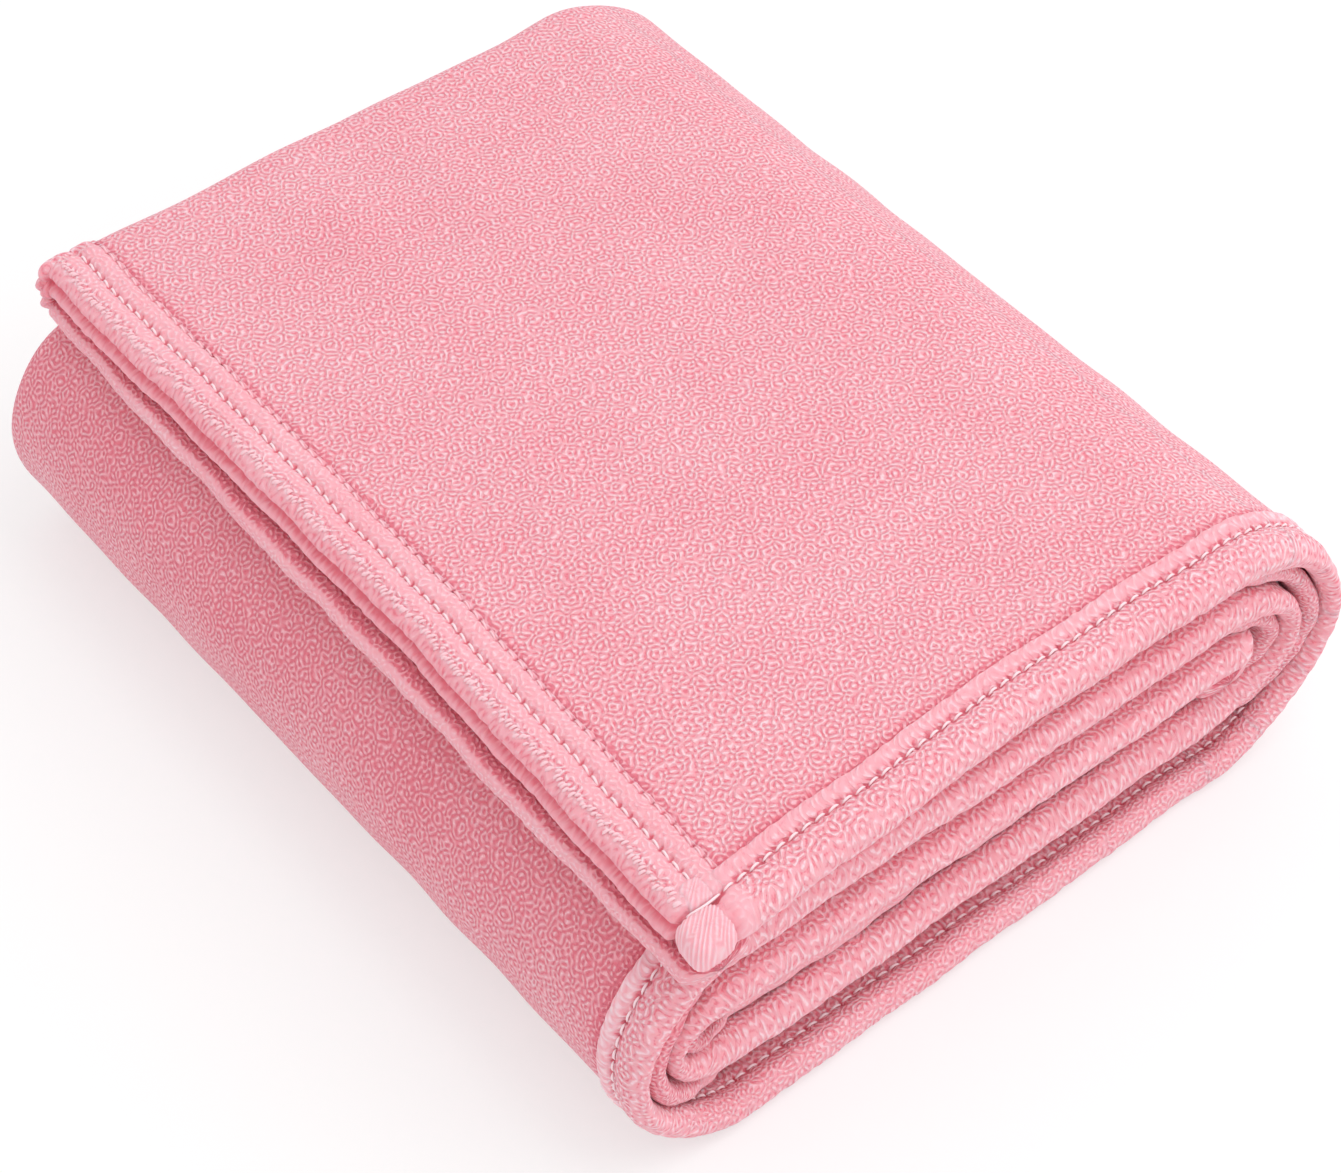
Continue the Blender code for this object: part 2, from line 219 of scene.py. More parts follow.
STRETCHES = {
    "flap": flat_run("flap", FLAP_EDGE + END_HEM_WIDTH - HEM_OVERLAP, RIGHT_X, TOP, DOWN, 0.85),
    "right_fold": fold_run(RIGHT_X, TOP / 2, TOP / 2, RIGHT_TURN, ("flap", "bottom"),
                           right_fold_rise, turning_in,
                           (LIP_SETBACK, 2 * LIP_AT_FOLD, LIP_AT_BOTTOM), ROLL_AT_FOLD),
    "bottom": flat_run("bottom", RIGHT_X, LEFT_X, 0.0, UP, 0.0, 1.0, LIP_AT_BOTTOM),
    "left_fold": fold_run(LEFT_X, OUTER_LEFT, OUTER_LEFT, LEFT_TURN, ("second", "bottom"),
                          left_fold_rise, turning_in,
                          (LIP_SETBACK, LIP_AT_FOLD, LIP_AT_BOTTOM), ROLL_AT_FOLD),
    "second": flat_run("second", LEFT_X, RIGHT_X, TOP - PITCH, DOWN, HIDDEN),
    "inner_right_fold": fold_run(RIGHT_X, PITCH + INNER_RIGHT, INNER_RIGHT, RIGHT_TURN,
                                 ("second", "fourth"), pressed, outward, LIPS, ROLL_AT_FOLD, SNUG),
    "fourth": flat_run("fourth", RIGHT_X, LEFT_X, PITCH, UP, HIDDEN),
    "inner_left_fold": fold_run(LEFT_X, PITCH + INNER_LEFT, INNER_LEFT, LEFT_TURN,
                                ("third", "fourth"), pressed, outward, LIPS, ROLL_AT_FOLD, SNUG),
    "third": flat_run("third", LEFT_X, CORE_EDGE - CORE_DOME, 2 * PITCH + LAYER, DOWN, HIDDEN),
}
COLUMNS = list(STRETCHES["flap"])
ROUTE = {c: np.concatenate([run[c][:-1] for run in STRETCHES.values()]) for c in COLUMNS}
ROUTE["s"] = np.concatenate([[0.0], np.cumsum(np.hypot(np.diff(ROUTE["x"]), np.diff(ROUTE["z"])))])
ENDS = np.cumsum([len(run["x"]) - 1 for run in STRETCHES.values()]) - 1
STRETCH_END = dict(zip(STRETCHES, ROUTE["s"][ENDS]))
print(f"route {ROUTE['s'][-1]:.3f} m from the flap's hem to the core's")

# %% [markdown]
# ## Hand-folded, not machined
# No edge of a real folded blanket is dead straight. A few sine waves of different length, added up, give a
# wander that never repeats over the bundle. The same trick with shorter waves in all directions makes the
# curled pile further down.


# %% Wander along the edges
def wander(s, amount, lengths, seed):
    """Sum of sine waves along s, one for each wavelength, with phases drawn from a seeded generator."""
    phases = np.random.default_rng(seed).uniform(0.0, 2 * math.pi, len(lengths))
    waves = [np.sin(2 * math.pi * s / length + phase) for length, phase in zip(lengths, phases)]
    return amount * sum(waves) / math.sqrt(len(lengths))


LEFT_FLARE = 5.0 * MM  # the flap's free edge runs out to the left by this at the front corner
LEFT_EASE = 0.8 * MM  # and stays back by this behind
FLARE_WIDTH = 0.08  # the flare fades out over this distance from the free edge
FLARE_DEPTH = 0.129  # and is full this far in front of the middle
lower = 1.0 - smooth((ROUTE["z"] - 0.1 * TOP) / (0.5 * TOP))
rightward = smooth((ROUTE["x"] - LEFT_X) / (RIGHT_X - LEFT_X))
outer = ROUTE["s"] < STRETCH_END["left_fold"]
ROUTE["front"] = ROUTE["front"] + BOTTOM_SKEW * lower * rightward * outer
ROUTE["forward"] = SEAM_EASE * ROUTE["inside"] * lower * rightward * outer
FOURTH_SKEW = 1.8 * MM  # the layer on the bottom lies back too, so that the seam below it shows
inner_turn = (ROUTE["s"] > STRETCH_END["second"]) & (ROUTE["s"] < STRETCH_END["fourth"])
low_down = 1.0 - smooth((ROUTE["z"] - PITCH) / INNER_RIGHT)
ROUTE["front"] = ROUTE["front"] + FOURTH_SKEW * low_down * rightward * inner_turn
FLAP_BOW = 2.8 * MM  # the flap's front edge lies back by this along its middle
CORNER_PULL = 6.0 * MM  # and its free corner is pulled forward by this from there


def flap_bow(x):
    """How far the flap's front edge lies behind the solid's, falling towards the free corner."""
    return FLAP_BOW - CORNER_PULL * np.clip(x / FLAP_EDGE, 0.0, 1.0) ** 1.1


on_flap = 1.0 - smooth((ROUTE["s"] - STRETCH_END["flap"]) / (STRETCH_END["right_fold"] - STRETCH_END["flap"]))
ROUTE["front"] = ROUTE["front"] + flap_bow(ROUTE["x"]) * on_flap
ROUTE["front"] = ROUTE["front"] + wander(ROUTE["s"], 0.28 * MM, (0.031, 0.052, 0.087), 1)
ROUTE["lip"] = ROUTE["lip"] + wander(ROUTE["s"], 0.28 * MM, (0.011, 0.019, 0.034), 2)
ROUTE["back"] = ROUTE["back"] + wander(ROUTE["s"], 0.5 * MM, (0.043, 0.071, 0.11), 3)


def at(s):
    """Every column of the route at these distances along it, read between its stations."""
    return {name: np.interp(s, ROUTE["s"], column) for name, column in ROUTE.items()}


def flared(points):
    """Points of the flap moved left, more the nearer they are to its free edge and its front corner."""
    nearness = 1.0 - smooth((points[..., X] - FLAP_EDGE) / FLARE_WIDTH)
    pull = LEFT_FLARE * np.clip(-points[..., Y] / FLARE_DEPTH, 0.0, 1.0) ** 1.3 - LEFT_EASE
    return points - np.stack([pull * nearness, 0.0 * pull, 0.0 * pull], axis=-1)


def fold_place(angle):
    """Distance along the route where the right fold has turned to this angle, in degrees."""
    return STRETCH_END["flap"] + math.radians(90.0 - angle) * TOP / 2


print(f"front edge wanders by {np.ptp(ROUTE['front'][:100]) / MM:.2f} mm along the flap's first stretch")

# %% [markdown]
# ## From grids to meshes
# Every piece is a grid of points: one row of points for each station along a route, one column for each place
# round a section. Rows of such a grid are rings, so the mesh is a tube with its two ends closed. The helpers
# here turn a grid into a mesh with a UV map in metres, find the way out of the surface, and round off an end.


# %% Grid helpers
def outward_normals(points):
    """Unit normals of a grid of rings: the cross product of its two directions, turned to face out."""
    along = np.gradient(points, axis=0)
    round_it = np.roll(points, -1, axis=1) - np.roll(points, 1, axis=1)
    normal = np.cross(along, round_it)
    away = points - points.mean(axis=1, keepdims=True)
    if (away * normal).sum() < 0.0:
        normal = -normal
    return normal / np.maximum(np.linalg.norm(normal, axis=2, keepdims=True), 1e-15)


def lengths_round(points):
    """Distance round each ring, from 0 at its first point to the whole way at the closing one."""
    closed = np.concatenate([points, points[:, :1]], axis=1)
    steps = np.linalg.norm(np.diff(closed, axis=1), axis=2)
    return np.concatenate([np.zeros((len(points), 1)), np.cumsum(steps, axis=1)], axis=1)


def domed(points, reach, steps=7, first=True, last=True):
    """The grid with rounded ends: an added ring shrinks by a cosine and moves out by reach times a sine."""
    turn = np.linspace(0.0, 1.48, steps + 1)[1:, None, None]

    def cap(ring, inner_ring):
        middle = ring.mean(axis=0)
        way = middle - inner_ring.mean(axis=0)
        way = way / np.linalg.norm(way)
        return middle + (ring - middle) * np.cos(turn) + way * reach * np.sin(turn)

    grids = [points]
    if first:
        grids.insert(0, cap(points[0], points[2])[::-1])
    if last:
        grids.append(cap(points[-1], points[-3]))
    return np.concatenate(grids)


# %% Mesh from rings
def ring_faces(points):
    """Four corners of each face of a grid of rings, and the two end rings, all facing out."""
    rows, columns = points.shape[:2]
    index = np.arange(rows * columns).reshape(rows, columns)
    beside = np.roll(index, -1, axis=1)
    faces = np.stack([index[:-1], beside[:-1], beside[1:], index[1:]], axis=-1)
    ends = [index[0][::-1], index[-1]]
    flat = points.reshape(-1, 3)
    corner = flat[faces]
    normal = np.cross(corner[..., 2, :] - corner[..., 0, :], corner[..., 3, :] - corner[..., 1, :])
    away = corner.mean(axis=2) - points.mean(axis=1)[:-1, None]
    facing_out = (away * normal).sum() > 0.0
    return faces, ends, facing_out


def ring_mesh(name, points, uv, **masks):
    """A closed mesh through a grid of rings. uv has one more column than points, for the seam.

    masks are values for each point, which the finish reads by name: the mask of painted shade darkens the
    colour, and lightens it as painted highlight where it is below 0; bare hides the pile.
    """
    faces, ends, facing_out = ring_faces(points)
    corner_uv = np.stack([uv[:-1, :-1], uv[:-1, 1:], uv[1:, 1:], uv[1:, :-1]], axis=2)
    end_uv = [uv[0, :-1][::-1], uv[-1, :-1]]
    if not facing_out:
        faces, corner_uv = faces[..., ::-1], corner_uv[:, :, ::-1]
        ends = [end[::-1] for end in ends]
        end_uv = [end[::-1] for end in end_uv]
    mesh = bpy.data.meshes.new(name)
    polygons = faces.reshape(-1, 4).tolist() + [end.tolist() for end in ends]
    mesh.from_pydata(points.reshape(-1, 3), [], polygons)
    layer = mesh.uv_layers.new(name="cloth")
    layer.data.foreach_set("uv", np.concatenate([corner_uv.reshape(-1, 2), *end_uv]).ravel())
    for key, values in masks.items():
        mesh.attributes.new(key, "FLOAT", "POINT").data.foreach_set("value", values.ravel())
    mesh.shade_smooth()
    mesh.set_sharp_from_angle(angle=math.radians(70))
    return mesh


def piece(name, mesh, finish):
    """An object at the origin with its finish."""
    made = bpy.data.objects.new(name, mesh)
    bpy.context.scene.collection.objects.link(made)
    mesh.materials.append(finish)
    return made


print("grid helpers ready")

# %% [markdown]
# ## The curl of the pile
# Fleece of this kind is brushed and tumbled until its pile curls into little worms. A sum of waves that all
# have the same length but run in every direction makes just such a maze, because no direction wins. Slow
# waves push the maze about first, so that the curls swirl. The pattern is written twice from one list of
# waves: in numpy, to raise the hems' real surface, and in shader nodes, to colour and emboss every face.

# %% The waves that make the maze
CURL_WAVES = 12
SWIRL_WAVES = 3
draw = np.random.default_rng(3)
CURL_TURN = math.pi * (np.arange(CURL_WAVES) + draw.uniform(-0.3, 0.3, CURL_WAVES)) / CURL_WAVES
CURL_RATE = 2 * math.pi * draw.uniform(0.95, 1.05, CURL_WAVES)
CURL_VECTORS = np.stack([CURL_RATE * np.cos(CURL_TURN), CURL_RATE * np.sin(CURL_TURN),
                         draw.uniform(0, 2 * math.pi, CURL_WAVES)], axis=1)
SWIRL_RATE = 2 * math.pi * draw.uniform(0.22, 0.42, (2, SWIRL_WAVES))
SWIRL_TURN = draw.uniform(0, 2 * math.pi, (2, SWIRL_WAVES))
SWIRL_VECTORS = np.stack([SWIRL_RATE * np.cos(SWIRL_TURN), SWIRL_RATE * np.sin(SWIRL_TURN),
                          draw.uniform(0, 2 * math.pi, (2, SWIRL_WAVES))], axis=2)
SWIRL = 0.12  # how far a swirl pushes the maze, in curls
EVENNESS = 1.2  # the smaller, the more evenly every curl stands up


def curls(u, v):
    """Height of the pile at places in metres, -1 to 1.

    The place is swirled, the sines of the curl waves are summed, and so are their cosines. The sum of sines
    over the length of both sums is high on every ridge alike, however strong the waves are there.
    """
    place = np.stack([u / CURL, v / CURL, np.ones_like(u)], axis=-1)
    push = [np.sin(place @ vectors.T).sum(axis=-1) * SWIRL for vectors in SWIRL_VECTORS]
    place = place + np.stack([*push, np.zeros_like(u)], axis=-1)
    angles = place @ CURL_VECTORS.T
    sines, cosines = np.sin(angles).sum(axis=-1), np.cos(angles).sum(axis=-1)
    return sines / np.sqrt(sines**2 + cosines**2 + EVENNESS)


print(f"{CURL_WAVES} curl waves, {2 * SWIRL_WAVES} swirl waves")


# %% [markdown]
# ## Finishes
# The pile's colour and relief go into one node group, because the open cloth and the hems share it. It gives
# out a colour and a height, and the shader stays in each material, with a little sheen for the fuzz that
# catches light at the edges.


# %% Node helpers
def socket(tree, name, kind, way, value=None):
    """A named socket on a group's face, with its value at rest."""
    made = tree.interface.new_socket(name, in_out=way, socket_type=f"NodeSocket{kind}")
    if value is not None:
        made.default_value = value
    return made


def node(tree, kind, *links, **settings):
    """A node with its settings. links fill its inputs in order: sockets or plain values, None skips one."""
    made = tree.nodes.new(f"ShaderNode{kind}")
    for key, value in settings.items():
        setattr(made, key, value)
    for entry, value in zip(made.inputs, links):
        if isinstance(value, bpy.types.NodeSocket):
            tree.links.new(value, entry)
        elif value is not None:
            entry.default_value = value
    return made


def sum_of_waves(tree, place, vectors, wave="SINE"):
    """Socket for the sum of the sine, or the cosine, of place dot vector over the vectors."""
    total = None
    for vector in vectors:
        dot = node(tree, "VectorMath", place, tuple(vector), operation="DOT_PRODUCT").outputs["Value"]
        sine = node(tree, "Math", dot, operation=wave).outputs[0]
        total = sine if total is None else node(tree, "Math", total, sine, operation="ADD").outputs[0]
    return total


def ramp(tree, value, low, high):
    """A smooth rise from 0 at low to 1 at high."""
    made = node(tree, "MapRange", value, low, high, interpolation_type="SMOOTHSTEP")
    return made.outputs["Result"]


def blend_colours(tree, share, first, second):
    """The mix of two colours, by a share from 0 to 1."""
    made = tree.nodes.new("ShaderNodeMix")
    made.data_type = "RGBA"
    tree.links.new(share, made.inputs["Factor"])
    for entry, colour in (("A", first), ("B", second)):
        target = next(i for i in made.inputs if i.name == entry and i.type == "RGBA")
        tree.links.new(colour, target)
    return next(o for o in made.outputs if o.type == "RGBA")


# %% Curled pile group
BARE_TONE = 0.62  # how light a stretch without curls is, between groove and ridge


def curled_pile():
    """Group that draws the maze of curls: thin grooves and ridges on an even body, ruffled by fine fibres.

    The tone follows the height's cube, which is flat in the middle, so that only its extremes show as lines.
    The curls are the pile's own pattern, but their grooves are painted darker and their ridges lighter, as
    painted shade and painted highlight of their relief. The mask of painted shade lowers the tone further.
    """
    tree = bpy.data.node_groups.new("Curled pile", "ShaderNodeTree")
    socket(tree, "Place", "Vector", "INPUT")
    for name in ("Deep", "Groove", "Body", "Ridge"):
        socket(tree, name, "Color", "INPUT")
    socket(tree, "Curl", "Float", "INPUT", CURL)
    socket(tree, "Crease", "Float", "INPUT", 0.0)
    socket(tree, "Bare", "Float", "INPUT", 0.0)
    socket(tree, "Colour", "Color", "OUTPUT")
    socket(tree, "Height", "Float", "OUTPUT")
    given = tree.nodes.new("NodeGroupInput").outputs
    result = tree.nodes.new("NodeGroupOutput").inputs

    def maths(operation, *values):
        return node(tree, "Math", *values, operation=operation).outputs[0]

    rate = maths("DIVIDE", 1.0, given["Curl"])
    per_curl = node(tree, "CombineXYZ", rate, rate).outputs[0]
    place = node(tree, "VectorMath", given["Place"], per_curl, (0.0, 0.0, 1.0), operation="MULTIPLY_ADD")
    push = [sum_of_waves(tree, place.outputs[0], vectors) for vectors in SWIRL_VECTORS]
    push = node(tree, "CombineXYZ", *push).outputs[0]
    reach = (SWIRL, SWIRL, 0.0)
    swirled = node(tree, "VectorMath", push, reach, place.outputs[0], operation="MULTIPLY_ADD").outputs[0]
    sines = sum_of_waves(tree, swirled, CURL_VECTORS)
    cosines = sum_of_waves(tree, swirled, CURL_VECTORS, "COSINE")
    strength = maths("MULTIPLY_ADD", sines, sines, EVENNESS)
    strength = maths("SQRT", maths("MULTIPLY_ADD", cosines, cosines, strength))
    field = maths("DIVIDE", sines, strength)
    fibre = node(tree, "TexNoise", given["Place"], noise_dimensions="2D")
    fibre.inputs["Scale"].default_value = 1 / (0.4 * MM)
    fibre.inputs["Detail"].default_value = 2.0
    ruffled = maths("ADD", maths("MULTIPLY_ADD", fibre.outputs["Fac"], 0.8, -0.4), field)
    cubed = maths("MULTIPLY", maths("MULTIPLY", ruffled, ruffled), ruffled)
    drawn = maths("MULTIPLY_ADD", cubed, 0.40, maths("MULTIPLY_ADD", ruffled, 0.12, 0.5))
    raised = ramp(tree, ruffled, -0.95, 0.95)
    raised = node(tree, "Mix", given["Bare"], None, raised, BARE_TONE, data_type="FLOAT").outputs["Result"]
    drawn = node(tree, "Mix", given["Bare"], None, drawn, BARE_TONE, data_type="FLOAT").outputs["Result"]
    cloud = node(tree, "TexNoise", given["Place"], noise_dimensions="2D")
    cloud.inputs["Scale"].default_value = 1 / 0.030
    cloud.inputs["Detail"].default_value = 3.0
    tone = maths("ADD", drawn, maths("MULTIPLY_ADD", cloud.outputs["Fac"], 0.24, -0.12))
    # Painted shade: the mask of painted shade lowers the tone towards the groove and deep colours where shade
    # falls, and a value below 0 raises it as painted highlight.
    tone = maths("MULTIPLY_ADD", given["Crease"], -1.2, tone)
    colour = blend_colours(tree, ramp(tree, tone, -0.8, 0.0), given["Deep"], given["Groove"])
    colour = blend_colours(tree, ramp(tree, tone, 0.0, 0.5), colour, given["Body"])
    colour = blend_colours(tree, ramp(tree, tone, 0.5, 1.0), colour, given["Ridge"])
    tree.links.new(colour, result["Colour"])
    tree.links.new(raised, result["Height"])
    return tree


# %% Materials
PILE = curled_pile()
# Pile colours: the groove colour is painted shade and the ridge colours are painted highlight of the curls'
# relief. The deep colour is the darkest painted shade, which the mask of painted shade darkens towards.
DEEP = (0.60, 0.11, 0.16, 1.0)
GROOVE = (0.82, 0.22, 0.28, 1.0)
BODY = (0.93, 0.425, 0.485, 1.0)
RIDGE = (0.985, 0.665, 0.72, 1.0)
HEM_BODY = (0.93, 0.44, 0.50, 1.0)
HEM_RIDGE = (0.99, 0.69, 0.745, 1.0)
SHEEN_TINT = (1.0, 0.74, 0.79, 1.0)
PILE_RELIEF = 0.32 * MM
GLOW_THROUGH = 0.35  # share of the light that spreads through the fleece before it comes out
GLOW_REACH = 2.5 * MM
GLOW_COLOUR = (1.0, 0.22, 0.28)  # red light reaches furthest


def new_finish(name, **values):
    """A new material, its node tree and its shader. An underscore stands for a space in a socket's name."""
    made = bpy.data.materials.new(name)
    made.use_nodes = True
    shader = made.node_tree.nodes["Principled BSDF"]
    for entry, value in values.items():
        shader.inputs[entry.replace("_", " ")].default_value = value
    return made, made.node_tree, shader


def fleece_finish(name, groove, body, ridge, curl):
    """Fleece: the pile group feeds colour and bump, a soft sheen stands for the loose fibres."""
    made, tree, shader = new_finish(
        name, Roughness=0.92, Specular_IOR_Level=0.05, Subsurface_Weight=GLOW_THROUGH,
        Subsurface_Radius=GLOW_COLOUR, Subsurface_Scale=GLOW_REACH, Sheen_Weight=0.05,
        Sheen_Roughness=0.45, Sheen_Tint=SHEEN_TINT)
    pile = tree.nodes.new("ShaderNodeGroup")
    pile.node_tree = PILE
    values = {"Deep": DEEP, "Groove": groove, "Body": body, "Ridge": ridge, "Curl": curl}
    for entry, value in values.items():
        pile.inputs[entry].default_value = value
    tree.links.new(node(tree, "UVMap", uv_map="cloth").outputs["UV"], pile.inputs["Place"])
    for entry in ("Crease", "Bare"):
        mask = node(tree, "Attribute", attribute_name=entry.lower()).outputs["Fac"]
        tree.links.new(mask, pile.inputs[entry])
    bump = tree.nodes.new("ShaderNodeBump")
    bump.inputs["Strength"].default_value = 0.9
    bump.inputs["Distance"].default_value = PILE_RELIEF
    tree.links.new(pile.outputs["Colour"], shader.inputs["Base Color"])
    tree.links.new(pile.outputs["Height"], bump.inputs["Height"])
    tree.links.new(bump.outputs["Normal"], shader.inputs["Normal"])
    return made


def thread_finish(name, dark, light):
    """Sewing thread, with a fine twist of two colours drawn by slanting bands along it."""
    made, tree, shader = new_finish(name, Roughness=0.75, Specular_IOR_Level=0.15)
    place = node(tree, "UVMap", uv_map="cloth").outputs["UV"]
    twist = node(tree, "TexWave", place, 1 / (0.7 * MM), bands_direction="DIAGONAL").outputs["Fac"]
    colours = tree.nodes.new("ShaderNodeValToRGB")
    colours.color_ramp.elements[0].color = dark
    colours.color_ramp.elements[1].color = light
    tree.links.new(twist, colours.inputs["Fac"])
    tree.links.new(colours.outputs["Color"], shader.inputs["Base Color"])
    return made


FLEECE = fleece_finish("fleece", GROOVE, BODY, RIDGE, CURL)
HEM = fleece_finish("hem", GROOVE, HEM_BODY, HEM_RIDGE, CURL * HEM_CURL)
SEWING = thread_finish("thread", (1.0, 0.72, 0.77, 1.0), (1.0, 0.90, 0.92, 1.0))
OVERLOCK = thread_finish("overlock", (0.99, 0.57, 0.63, 1.0), (1.0, 0.72, 0.77, 1.0))
print("finishes", FLEECE.name, HEM.name, SEWING.name, OVERLOCK.name)

# %% [markdown]
# ## The cloth
# A layer is three plies of one sheet: the outer ply turns round the back fold, comes forward as under ply,
# turns again at the front lip and ends as the tucked ply. Its cut across is a long closed outline made of
# straight legs and arcs, and that outline is carried along the route. The big right fold opens when the flap
# is lifted, so its skin is cut at the middle of each hinged slice.


# %% Outline of the three plies
def leg(start, end, count):
    """Straight leg of an outline at every station, from start towards end, which the next leg begins with."""
    t = np.linspace(0.0, 1.0, count, endpoint=False)
    parts = [a[:, None] + (b - a)[:, None] * t for a, b in zip(start, end)]
    return np.stack(parts, axis=-1)


def bend(centre, radius, start, end, count):
    """Arc of an outline at every station, between two angles in degrees."""
    angle = np.radians(np.linspace(start, end, count, endpoint=False))
    y = centre[0][:, None] + radius[:, None] * np.cos(angle)
    return np.stack([y, centre[1][:, None] + radius[:, None] * np.sin(angle)], axis=-1)


def ply_outline(r, fine):
    """Outline in y and depth, station by station: outer ply, back fold, under ply, front lip, tucked ply."""
    one = np.ones_like(r["front"])
    lip_depth = r["roll"] + CUT_GAP
    lip_radius = (LAYER - lip_depth) / 2
    thin_ply = lip_radius - PLY_GAP / 2
    tucked_top = PLY + PLY_GAP
    start = r["front"] + HEM_WIDTH - 1.0 * MM
    back = r["back"] - LAYER / 2
    lip = r["front"] + r["lip"] + lip_radius
    pinch = np.maximum(r["front"] + FRONT_ROLL, lip + CUT_GAP)
    swell = pinch + HEM_WIDTH - FRONT_ROLL + 2.0 * MM
    tucked_end = back - 4.0 * MM
    legs = [
        leg((start, 0.5 * MM * one), (start + 2.4 * MM, 0.0 * one), 3),
        leg((start + 2.4 * MM, 0.0 * one), (back, 0.0 * one), fine),
        bend((back, LAYER / 2 * one), LAYER / 2 * one, -90, 90, 18),
        leg((back, LAYER * one), (lip, LAYER * one), fine // 2),
        bend((lip, LAYER - lip_radius), lip_radius, 90, 270, 12),
        leg((lip, lip_depth), (pinch, lip_depth), 2),
        leg((pinch, lip_depth), (swell, tucked_top * one), 5),
        leg((swell, tucked_top * one), (tucked_end, tucked_top * one), 12),
        leg((tucked_end, tucked_top * one), (tucked_end, (tucked_top + PLY) * one), 2),
        leg((tucked_end, (tucked_top + PLY) * one), (swell, (tucked_top + PLY) * one), 12),
        leg((swell, (tucked_top + PLY) * one), (pinch, lip_depth + thin_ply), 3),
        bend((lip, LAYER - lip_radius), PLY_GAP / 2 * one, 270, 90, 4),
        leg((pinch, LAYER - thin_ply), (swell, (LAYER - PLY) * one), 3),
        leg((swell, (LAYER - PLY) * one), (back, (LAYER - PLY) * one), 12),
        bend((back, LAYER / 2 * one), (LAYER / 2 - PLY) * one, 90, -90, 10),
        leg((back, PLY * one), (start, PLY * one), 12),
        leg((start, PLY * one), (start, 0.5 * MM * one), 2),
    ]
    return np.concatenate(legs, axis=1)


def carry(origin, across, inward, outline):
    """Points of a section carried along a route: origin plus across times y, plus inward times depth."""
    return origin[:, None] + across[:, None] * outline[..., :1] + inward[:, None] * outline[..., 1:]


def front_frame(r):
    """Origin, across and inward directions for a section in y and depth along the route."""
    zero = np.zeros_like(r["x"])
    origin = np.stack([r["x"], zero, r["z"]], axis=-1)
    across = np.stack([zero, zero + 1.0, zero], axis=-1)
    inward = np.stack([r["ix"] * r["loft"], zero, r["iz"] * r["loft"]], axis=-1)
    return origin, across, inward


# %% Cut the cloth into pieces that bend
SLICES = 5
CUTS = [fold_place(-90.0 + SLICE_ANGLE * n) for n in range(SLICES + 1)]
SOFT_SWELL = 0.30 * MM
BARE_LIP = 1.5 * MM  # the lip is brushed smooth over this width
HEM_CREASE = 0.5  # painted shade: how dark the cloth is painted right behind a hem, where the hem shades it
LEFT_DEPTH = (0.06, 0.36)  # painted shade: how much darker the pile is painted round a left fold, low down and under the flap


def stations(start, end, straight_step, turn_step):
    """Distances along the route from start to end, with a step in metres for runs and one for turns."""
    fine = np.arange(start, end, 0.1 * MM)
    turning = np.abs(at(fine)["iz"]) < 0.9999
    density = np.where(turning, 1.0 / turn_step, 1.0 / straight_step) * 0.1 * MM
    done = np.concatenate([[0.0], np.cumsum(density)[:-1]])
    count = max(int(round(done[-1])), 3)
    return np.interp(np.linspace(0.0, done[-1], count + 1), done, np.append(fine[:-1], end))


def cloth_piece(name, start, end, fine, straight_step=2.6 * MM, turn_step=1.6 * MM):
    """The three plies between two distances along the route, with a soft swell on every face."""
    s = stations(start, end, straight_step, turn_step)
    r = at(s)
    outline = ply_outline(r, fine)
    points = carry(*front_frame(r), outline)
    v = lengths_round(points).mean(axis=0)
    behind_lip = outline[..., 0] - (r["front"] + r["lip"])[:, None]
    bare = 0.6 * smooth((BARE_LIP - behind_lip) / MM) * (outline[..., 1] > r["roll"][:, None])
    bare = bare * smooth(2.0 * np.abs(r["iz"]) - 1.0)[:, None]
    # Painted shade: a dark band on the cloth right behind the front hem, and at the flap's start beside the
    # end hem, where the hems shade it.
    behind_hem = outline[..., 0] - (r["front"] + HEM_WIDTH)[:, None]
    crease = HEM_CREASE * np.exp(-((behind_hem / (1.7 * MM)) ** 2)) * (outline[..., 1] < MM)
    if start <= HEM_OVERLAP:
        beside_end = (s - s[0])[:, None] / (1.2 * MM)
        crease = np.maximum(crease, HEM_CREASE * np.exp(-(beside_end**2)) * (outline[..., 1] < MM))
    # Painted shade: the cloth round a left fold is painted darker, most of all under the flap's overhang,
    # where the flap shades it.
    shaded = LEFT_DEPTH[0] + (LEFT_DEPTH[1] - LEFT_DEPTH[0]) * smooth((r["z"] / TOP - 0.36) / 0.38)
    crease = crease + (shaded * np.clip(r["ix"], 0.0, 1.0))[:, None]
    swell = wander(s[:, None] + 0.6 * v[None, :-1], SOFT_SWELL, (0.037, 0.061), 5)
    swell = swell * wander(v[None, :-1] - 0.4 * s[:, None], 1.0, (0.045, 0.083), 6)
    settle = np.clip((points[..., Z] - 0.6 * MM) / MM, 0.0, 1.0)
    points = points + outward_normals(points) * (swell * settle)[..., None]
    uv = np.stack(np.broadcast_arrays(s[:, None], v[None, :]), axis=-1)
    points = flared(points) if end <= CUTS[SLICES] else points
    made = piece(name, ring_mesh(name, points, uv, crease=crease, bare=bare), FLEECE)
    return made


END = ROUTE["s"][-1]
CLOTH = {"roll": cloth_piece("roll_cloth", CUTS[0], END - END_HEM_WIDTH + CORE_DOME, 84)}
for n in range(1, SLICES + 1):
    CLOTH[f"fold_{n}"] = cloth_piece(f"fold_cloth_{n}", CUTS[n], CUTS[n - 1], 150)
CLOTH["flap"] = cloth_piece("flap_cloth", HEM_OVERLAP, CUTS[SLICES], 150)

# %% [markdown]
# ## The front hem
# The sheet's long edge is turned under twice and sewn down, which leaves a fat soft roll in front of the
# stitches and a small ridge behind them. A dozen and a half points give that section, and a smooth curve goes
# through them. Along the bottom layer the hem lies face down, so the seam shows on its other face, and the
# section passes from one form to the other on the way round a fold.


